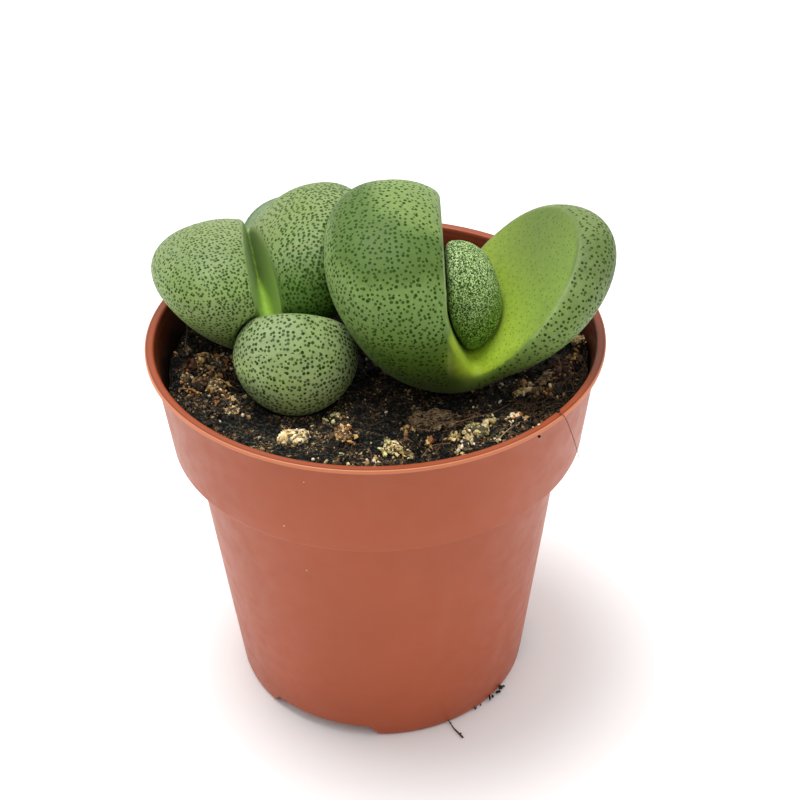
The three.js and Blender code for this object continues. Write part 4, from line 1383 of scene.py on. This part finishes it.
def pot_material():
    s = Shader("terracotta_plastic")
    where = s.place()
    x, y, z = s.parts(where)
    radius = s.math("SQRT", s.math("ADD", s.times(x, x), s.times(y, y)))
    cloud = s.noise(where, 0.035, 3.0)
    streak = s.noise(s.vector("MULTIPLY", where, (1.0, 1.0, 0.12)), 0.16, 3.0)
    grain = s.noise(where, 7.0, 2.0)
    scratch = s.noise(s.vector("MULTIPLY", where, (0.5, 0.5, 2.6)), 0.5, 5.0, 0.75)
    speck = s.node("ShaderNodeTexVoronoi", {"Vector": where, "Scale": 0.11, "Randomness": 1.0})
    inside = s.fall(s.math("SUBTRACT", radius, s.times(z, WALL_SLOPE)), *INNER_FACE)
    inside = s.times(inside, s.ramp(z, BORE_HEIGHT + 0.5, BORE_HEIGHT + 0.7))
    ragged_height = s.math("ADD", z, s.times(s.noise(where, 0.7, 4.0, 0.7), 7.0))
    on_lip = s.ramp(z, POT_HEIGHT - 0.7, POT_HEIGHT - 0.6)
    # Painted shade: a thin dark line on the lip's top near its outer edge, where the flat top turns into the
    # rounded edge.
    lip_shade_line = s.times(s.ramp(radius, RIM_RADIUS - 0.62, RIM_RADIUS - 0.5),
                     s.fall(radius, RIM_RADIUS - 0.34, RIM_RADIUS - 0.26))
    # Painted highlight: the lip's outer edge lighter.
    lip_edge_highlight = s.ramp(radius, RIM_RADIUS - 0.3, RIM_RADIUS - 0.15)
    # Painted shadow: a dark band on the collar just under the lip.
    under_lip_shadow = s.times(s.ramp(z, POT_HEIGHT - 1.5, POT_HEIGHT - 0.9),
                        s.fall(z, POT_HEIGHT - 0.8, POT_HEIGHT - 0.75))
    colour = s.mix(s.ramp(cloud, 0.35, 0.65), srgb(161, 70, 34), srgb(167, 74, 37))
    # Each coat: where it lies, how strong it is, its colour
    for share, strength, shade in (
        (s.ramp(streak, 0.5, 0.75), 0.2, srgb(168, 88, 60)),
        (s.ramp(grain, 0.45, 0.8), 0.16, srgb(180, 100, 70)),
        (s.ramp(scratch, 0.69, 0.73), 0.3, srgb(214, 150, 124)),
        (s.fall(speck.outputs["Distance"], 0.012, 0.03), 0.8, srgb(226, 178, 150)),
        # Painted shade: the inner wall darker
        (inside, 0.8, srgb(98, 40, 22)),
        (s.ramp(z, POT_HEIGHT - 0.6, POT_HEIGHT - 0.2), 0.7, srgb(136, 60, 32)),
        (s.times(lip_shade_line, on_lip), 0.6, srgb(92, 38, 24)),
        (s.times(lip_edge_highlight, on_lip), 0.75, srgb(214, 132, 92)),
        (under_lip_shadow, 0.65, srgb(84, 34, 20)),
        # The inner wall darker, to near black, low down towards the soil, with a ragged edge.
        (s.times(s.fall(ragged_height, 74.0, 78.5), inside), 0.93, srgb(28, 20, 16)),
    ):
        colour = s.mix(s.times(share, strength), colour, shade)
    waviness = s.noise(s.vector("MULTIPLY", where, (1.0, 1.0, 0.3)), 0.12, 2.0)
    bump = s.bump(s.math("ADD", s.times(waviness, 0.6), s.times(grain, 0.05)), 0.0002, 0.4)
    rough = s.ramp(s.noise(where, 0.3, 4.0), 0.3, 0.7, False, 0.36, 0.5)
    return s.finish(Base_Color=colour, Roughness=rough, Normal=bump, IOR=1.5, Specular_Tint=(1.0, 0.8, 0.65))


def soil_material():
    s = Shader("potting_soil")
    where = s.place()
    coarse = s.noise(where, 0.5, 4.0)
    fine = s.noise(where, 2.2, 4.0, 0.65)
    patch = s.ramp(s.noise(s.vector("ADD", where, (5.0, 41.0, 0.0)), 0.26, 3.0, 0.6), 0.47, 0.58)
    colour = s.mix(s.ramp(coarse, 0.35, 0.7), srgb(10, 10, 10), srgb(28, 24, 19))
    colour = s.mix(s.times(s.ramp(fine, 0.5, 0.58), patch), colour, srgb(112, 84, 56))
    flecks = s.noise(s.vector("ADD", where, (31.0, 7.0, 0.0)), 1.7, 3.0, 0.6)
    gathered = s.math("ADD", s.times(patch, 0.75), 0.1)
    colour = s.mix(s.times(s.ramp(flecks, 0.59, 0.62), gathered), colour, srgb(204, 176, 130))
    glints = s.noise(s.vector("MULTIPLY", where, (1.0, 2.4, 1.0)), 1.2, 3.0, 0.6)
    colour = s.mix(s.times(s.ramp(glints, 0.58, 0.62), 0.7), colour, srgb(76, 86, 78))
    height = s.math("ADD", s.times(coarse, 0.4), fine)
    bump = s.bump(height, 0.0006, 1.0)
    rough = s.ramp(coarse, 0.35, 0.65, False, 0.5, 0.95)
    return s.finish(Base_Color=colour, Roughness=rough, Normal=bump, Specular_IOR_Level=0.15)


def tinted_material(name, rough, bump_height=0.00008, variation=0.35, scale=4.0, specular=0.4):
    """The piece's own tint, with painted shade that darkens it in its pits."""
    s = Shader(name)
    where = s.place()
    tint = s.attribute("tint", "Color")
    grain = s.noise(where, scale, 4.0, 0.65)
    shade = s.ramp(grain, 0.3, 0.7, False, 1.0 - variation, 1.0 + 0.4 * variation)
    colour = s.scaled(tint, shade)
    bump = s.bump(grain, bump_height, 0.8)
    return s.finish(Base_Color=colour, Roughness=rough, Normal=bump, Specular_IOR_Level=specular)


def bark_material(name, dark, light, glint):
    s = Shader(name)
    where = s.place()
    fibres = s.noise(s.vector("MULTIPLY", where, (0.8, 3.0, 2.0)), 1.6, 5.0, 0.7)
    blotch = s.noise(where, 0.7, 3.0)
    colour = s.mix(s.ramp(fibres, 0.44, 0.55), dark, light)
    colour = s.mix(s.times(s.ramp(blotch, 0.56, 0.7), 0.6), colour, glint)
    folds = s.noise(s.vector("MULTIPLY", where, (0.6, 1.5, 1.0)), 0.45, 3.0)
    colour = s.mix(s.ramp(folds, 0.34, 0.45), dark, colour)
    bump = s.bump(s.math("ADD", fibres, s.times(folds, 2.0)), 0.0005, 0.9)
    rough = s.ramp(blotch, 0.3, 0.7, False, 0.8, 0.95)
    return s.finish(Base_Color=colour, Roughness=rough, Normal=bump, Specular_IOR_Level=0.3)


# Camera, light and floor

def camera_axes():
    pitch, yaw, roll = CAMERA_PITCH, CAMERA_YAW, CAMERA_ROLL
    forward = Vector((math.sin(yaw) * math.cos(pitch), math.cos(yaw) * math.cos(pitch), -math.sin(pitch)))
    right = Vector((math.cos(yaw), -math.sin(yaw), 0.0))
    up = right.cross(forward)
    turned_right = math.cos(roll) * right + math.sin(roll) * up
    turned_up = -math.sin(roll) * right + math.cos(roll) * up
    return turned_right, turned_up, forward


def make_camera():
    data = bpy.data.cameras.new("camera")
    data.lens = CAMERA_LENS
    data.sensor_width = SENSOR
    data.sensor_fit = "AUTO"
    data.clip_start = 0.01
    data.clip_end = 20
    camera = bpy.data.objects.new("camera", data)
    right, up, forward = camera_axes()
    camera.matrix_world = Matrix(
        (
            (right.x, up.x, -forward.x, CAMERA_PLACE[0] * MM),
            (right.y, up.y, -forward.y, CAMERA_PLACE[1] * MM),
            (right.z, up.z, -forward.z, CAMERA_PLACE[2] * MM),
            (0, 0, 0, 1),
        )
    )
    bpy.context.scene.collection.objects.link(camera)
    bpy.context.scene.camera = camera


def make_area_light(name, place, target, size, power):
    data = bpy.data.lights.new(name, "AREA")
    data.shape = "DISK"
    data.size = size
    data.energy = power
    light = bpy.data.objects.new(name, data)
    light.location = place
    light.rotation_euler = (Vector(target) - Vector(place)).to_track_quat("-Z", "Y").to_euler()
    bpy.context.scene.collection.objects.link(light)


# Strength of the white surroundings, and how much darker they are low down on the camera's side
SKY_LIGHT = 1.05
FRONT_DIM = 0.75
FLOOR_REACH = 4000.0


def make_studio():
    world = bpy.data.worlds.new("studio")
    w = Shader("studio", world)
    direction = w.parts(w.node("ShaderNodeTexCoord", {}).outputs["Generated"])
    ahead = w.ramp(w.times(direction[1], -1.0), 0.0, 0.8)
    low = w.fall(direction[2], 0.3, 0.85)
    strength = w.math("SUBTRACT", SKY_LIGHT, w.times(w.times(ahead, low), SKY_LIGHT * FRONT_DIM))
    sky = w.node("ShaderNodeBackground", {"Color": (1.0, 1.0, 1.0), "Strength": strength})
    w.node("ShaderNodeOutputWorld", {"Surface": sky.outputs[0]})
    bpy.context.scene.world = world
    make_area_light("key", (-0.12, 0.05, 0.8), (0, 0, 0.06), 0.4, 4.5)
    bpy.context.scene.view_settings.view_transform = "Standard"
    s = Shader("pale_floor")
    cloud = s.noise(s.place(), 0.02, 2.0)
    tone = s.mix(cloud, (0.955, 0.955, 0.95), (0.965, 0.965, 0.965))
    material = s.finish(Base_Color=tone, Roughness=0.9)
    corners = [(x * FLOOR_REACH, y * FLOOR_REACH, 0) for x, y in ((-1, -1), (1, -1), (1, 1), (-1, 1))]
    floor = add_mesh("floor", corners, [(0, 1, 2, 3)])
    floor.data.materials.append(material)


make_camera()
make_studio()

for name, pair in PAIRS.items():
    slot = {"right_head_inner_pair": "young_leaf", "left_head_outer_pair": "pale_leaf"}.get(name, "old_leaf")
    settle(make_pair(name, pair), slot, leaf_looks[name], name)

settle(make_pot(), "terracotta_plastic", pot_material(), "pot")
settle(make_soil(), "potting_soil", soil_material(), "soil")

crumb_look = tinted_material("soil_crumbs", 0.8)
grain_look = tinted_material("mineral_grains", 0.62, 0.0001, 0.4, 5.0, 0.5)
fibre_look = tinted_material("root_fibres", 0.75, 0.00002, 0.3, 3.0)

dark_crumbs = scattered_crumbs(DARK_CRUMBS, 0.25, 0.55, PEAT, 51)
light_specks = scattered_crumbs(LIGHT_SPECKS, 0.19, 0.5, CREAMS + GOLDS, 61)
settle(make_crumbs("dark_crumbs", *dark_crumbs, 52), "potting_soil", crumb_look)
settle(make_crumbs("light_specks", *light_specks, 62), "mineral", grain_look)
settle(make_crumbs("crumb_heaps", *heap_crumbs(), 72), "mineral", grain_look)
settle(make_crumbs("light_grains", *bead_crumbs(), 82, 2, 0.12), "mineral", grain_look)
settle(make_fibres(), "root", fibre_look)

for number, (name, (count, tints)) in enumerate(LUMPS.items()):
    settle(make_lump(name, count, tints, 300 + number), "mineral", grain_look, name)

bark_look = bark_material("torn_bark", srgb(30, 22, 16), srgb(176, 144, 106), srgb(226, 200, 156))
settle(make_flake("bark_flake_middle", 10.5, 5.4, 6, 9, 1.3), "bark", bark_look, "bark_flake_middle")
settle(make_flake("bark_flake_right", 6.4, 3.6, 42, -12, 4.1), "bark", bark_look, "bark_flake_right")

stuck = np.array(STUCK)
stuck_tints = np.where(stuck[:, 4:] > 0, CREAMS[0], BROWNS[3])
settle(make_crumbs("stuck_crumbs", stuck[:, :3], stuck[:, 3], stuck_tints, 92), "potting_soil", crumb_look)
foot_path = eased_path(FOOT_FIBRE, HAIR_STEPS)
foot_fibre = add_mesh("stuck_fibre", *tube(foot_path, np.linspace(0.1, 0.2, HAIR_STEPS), 6))
foot_tint = [*srgb(70, 58, 50), 1.0]
add_attribute(foot_fibre, "tint", "FLOAT_COLOR", np.tile(foot_tint, (len(foot_fibre.data.vertices), 1)))
settle(foot_fibre, "root", fibre_look)

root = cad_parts["rootstock"]
root.data.materials.clear()
corky_look = bark_material("corky_root", srgb(92, 66, 44), srgb(150, 116, 80), srgb(176, 146, 108))
root.data.materials.append(corky_look)
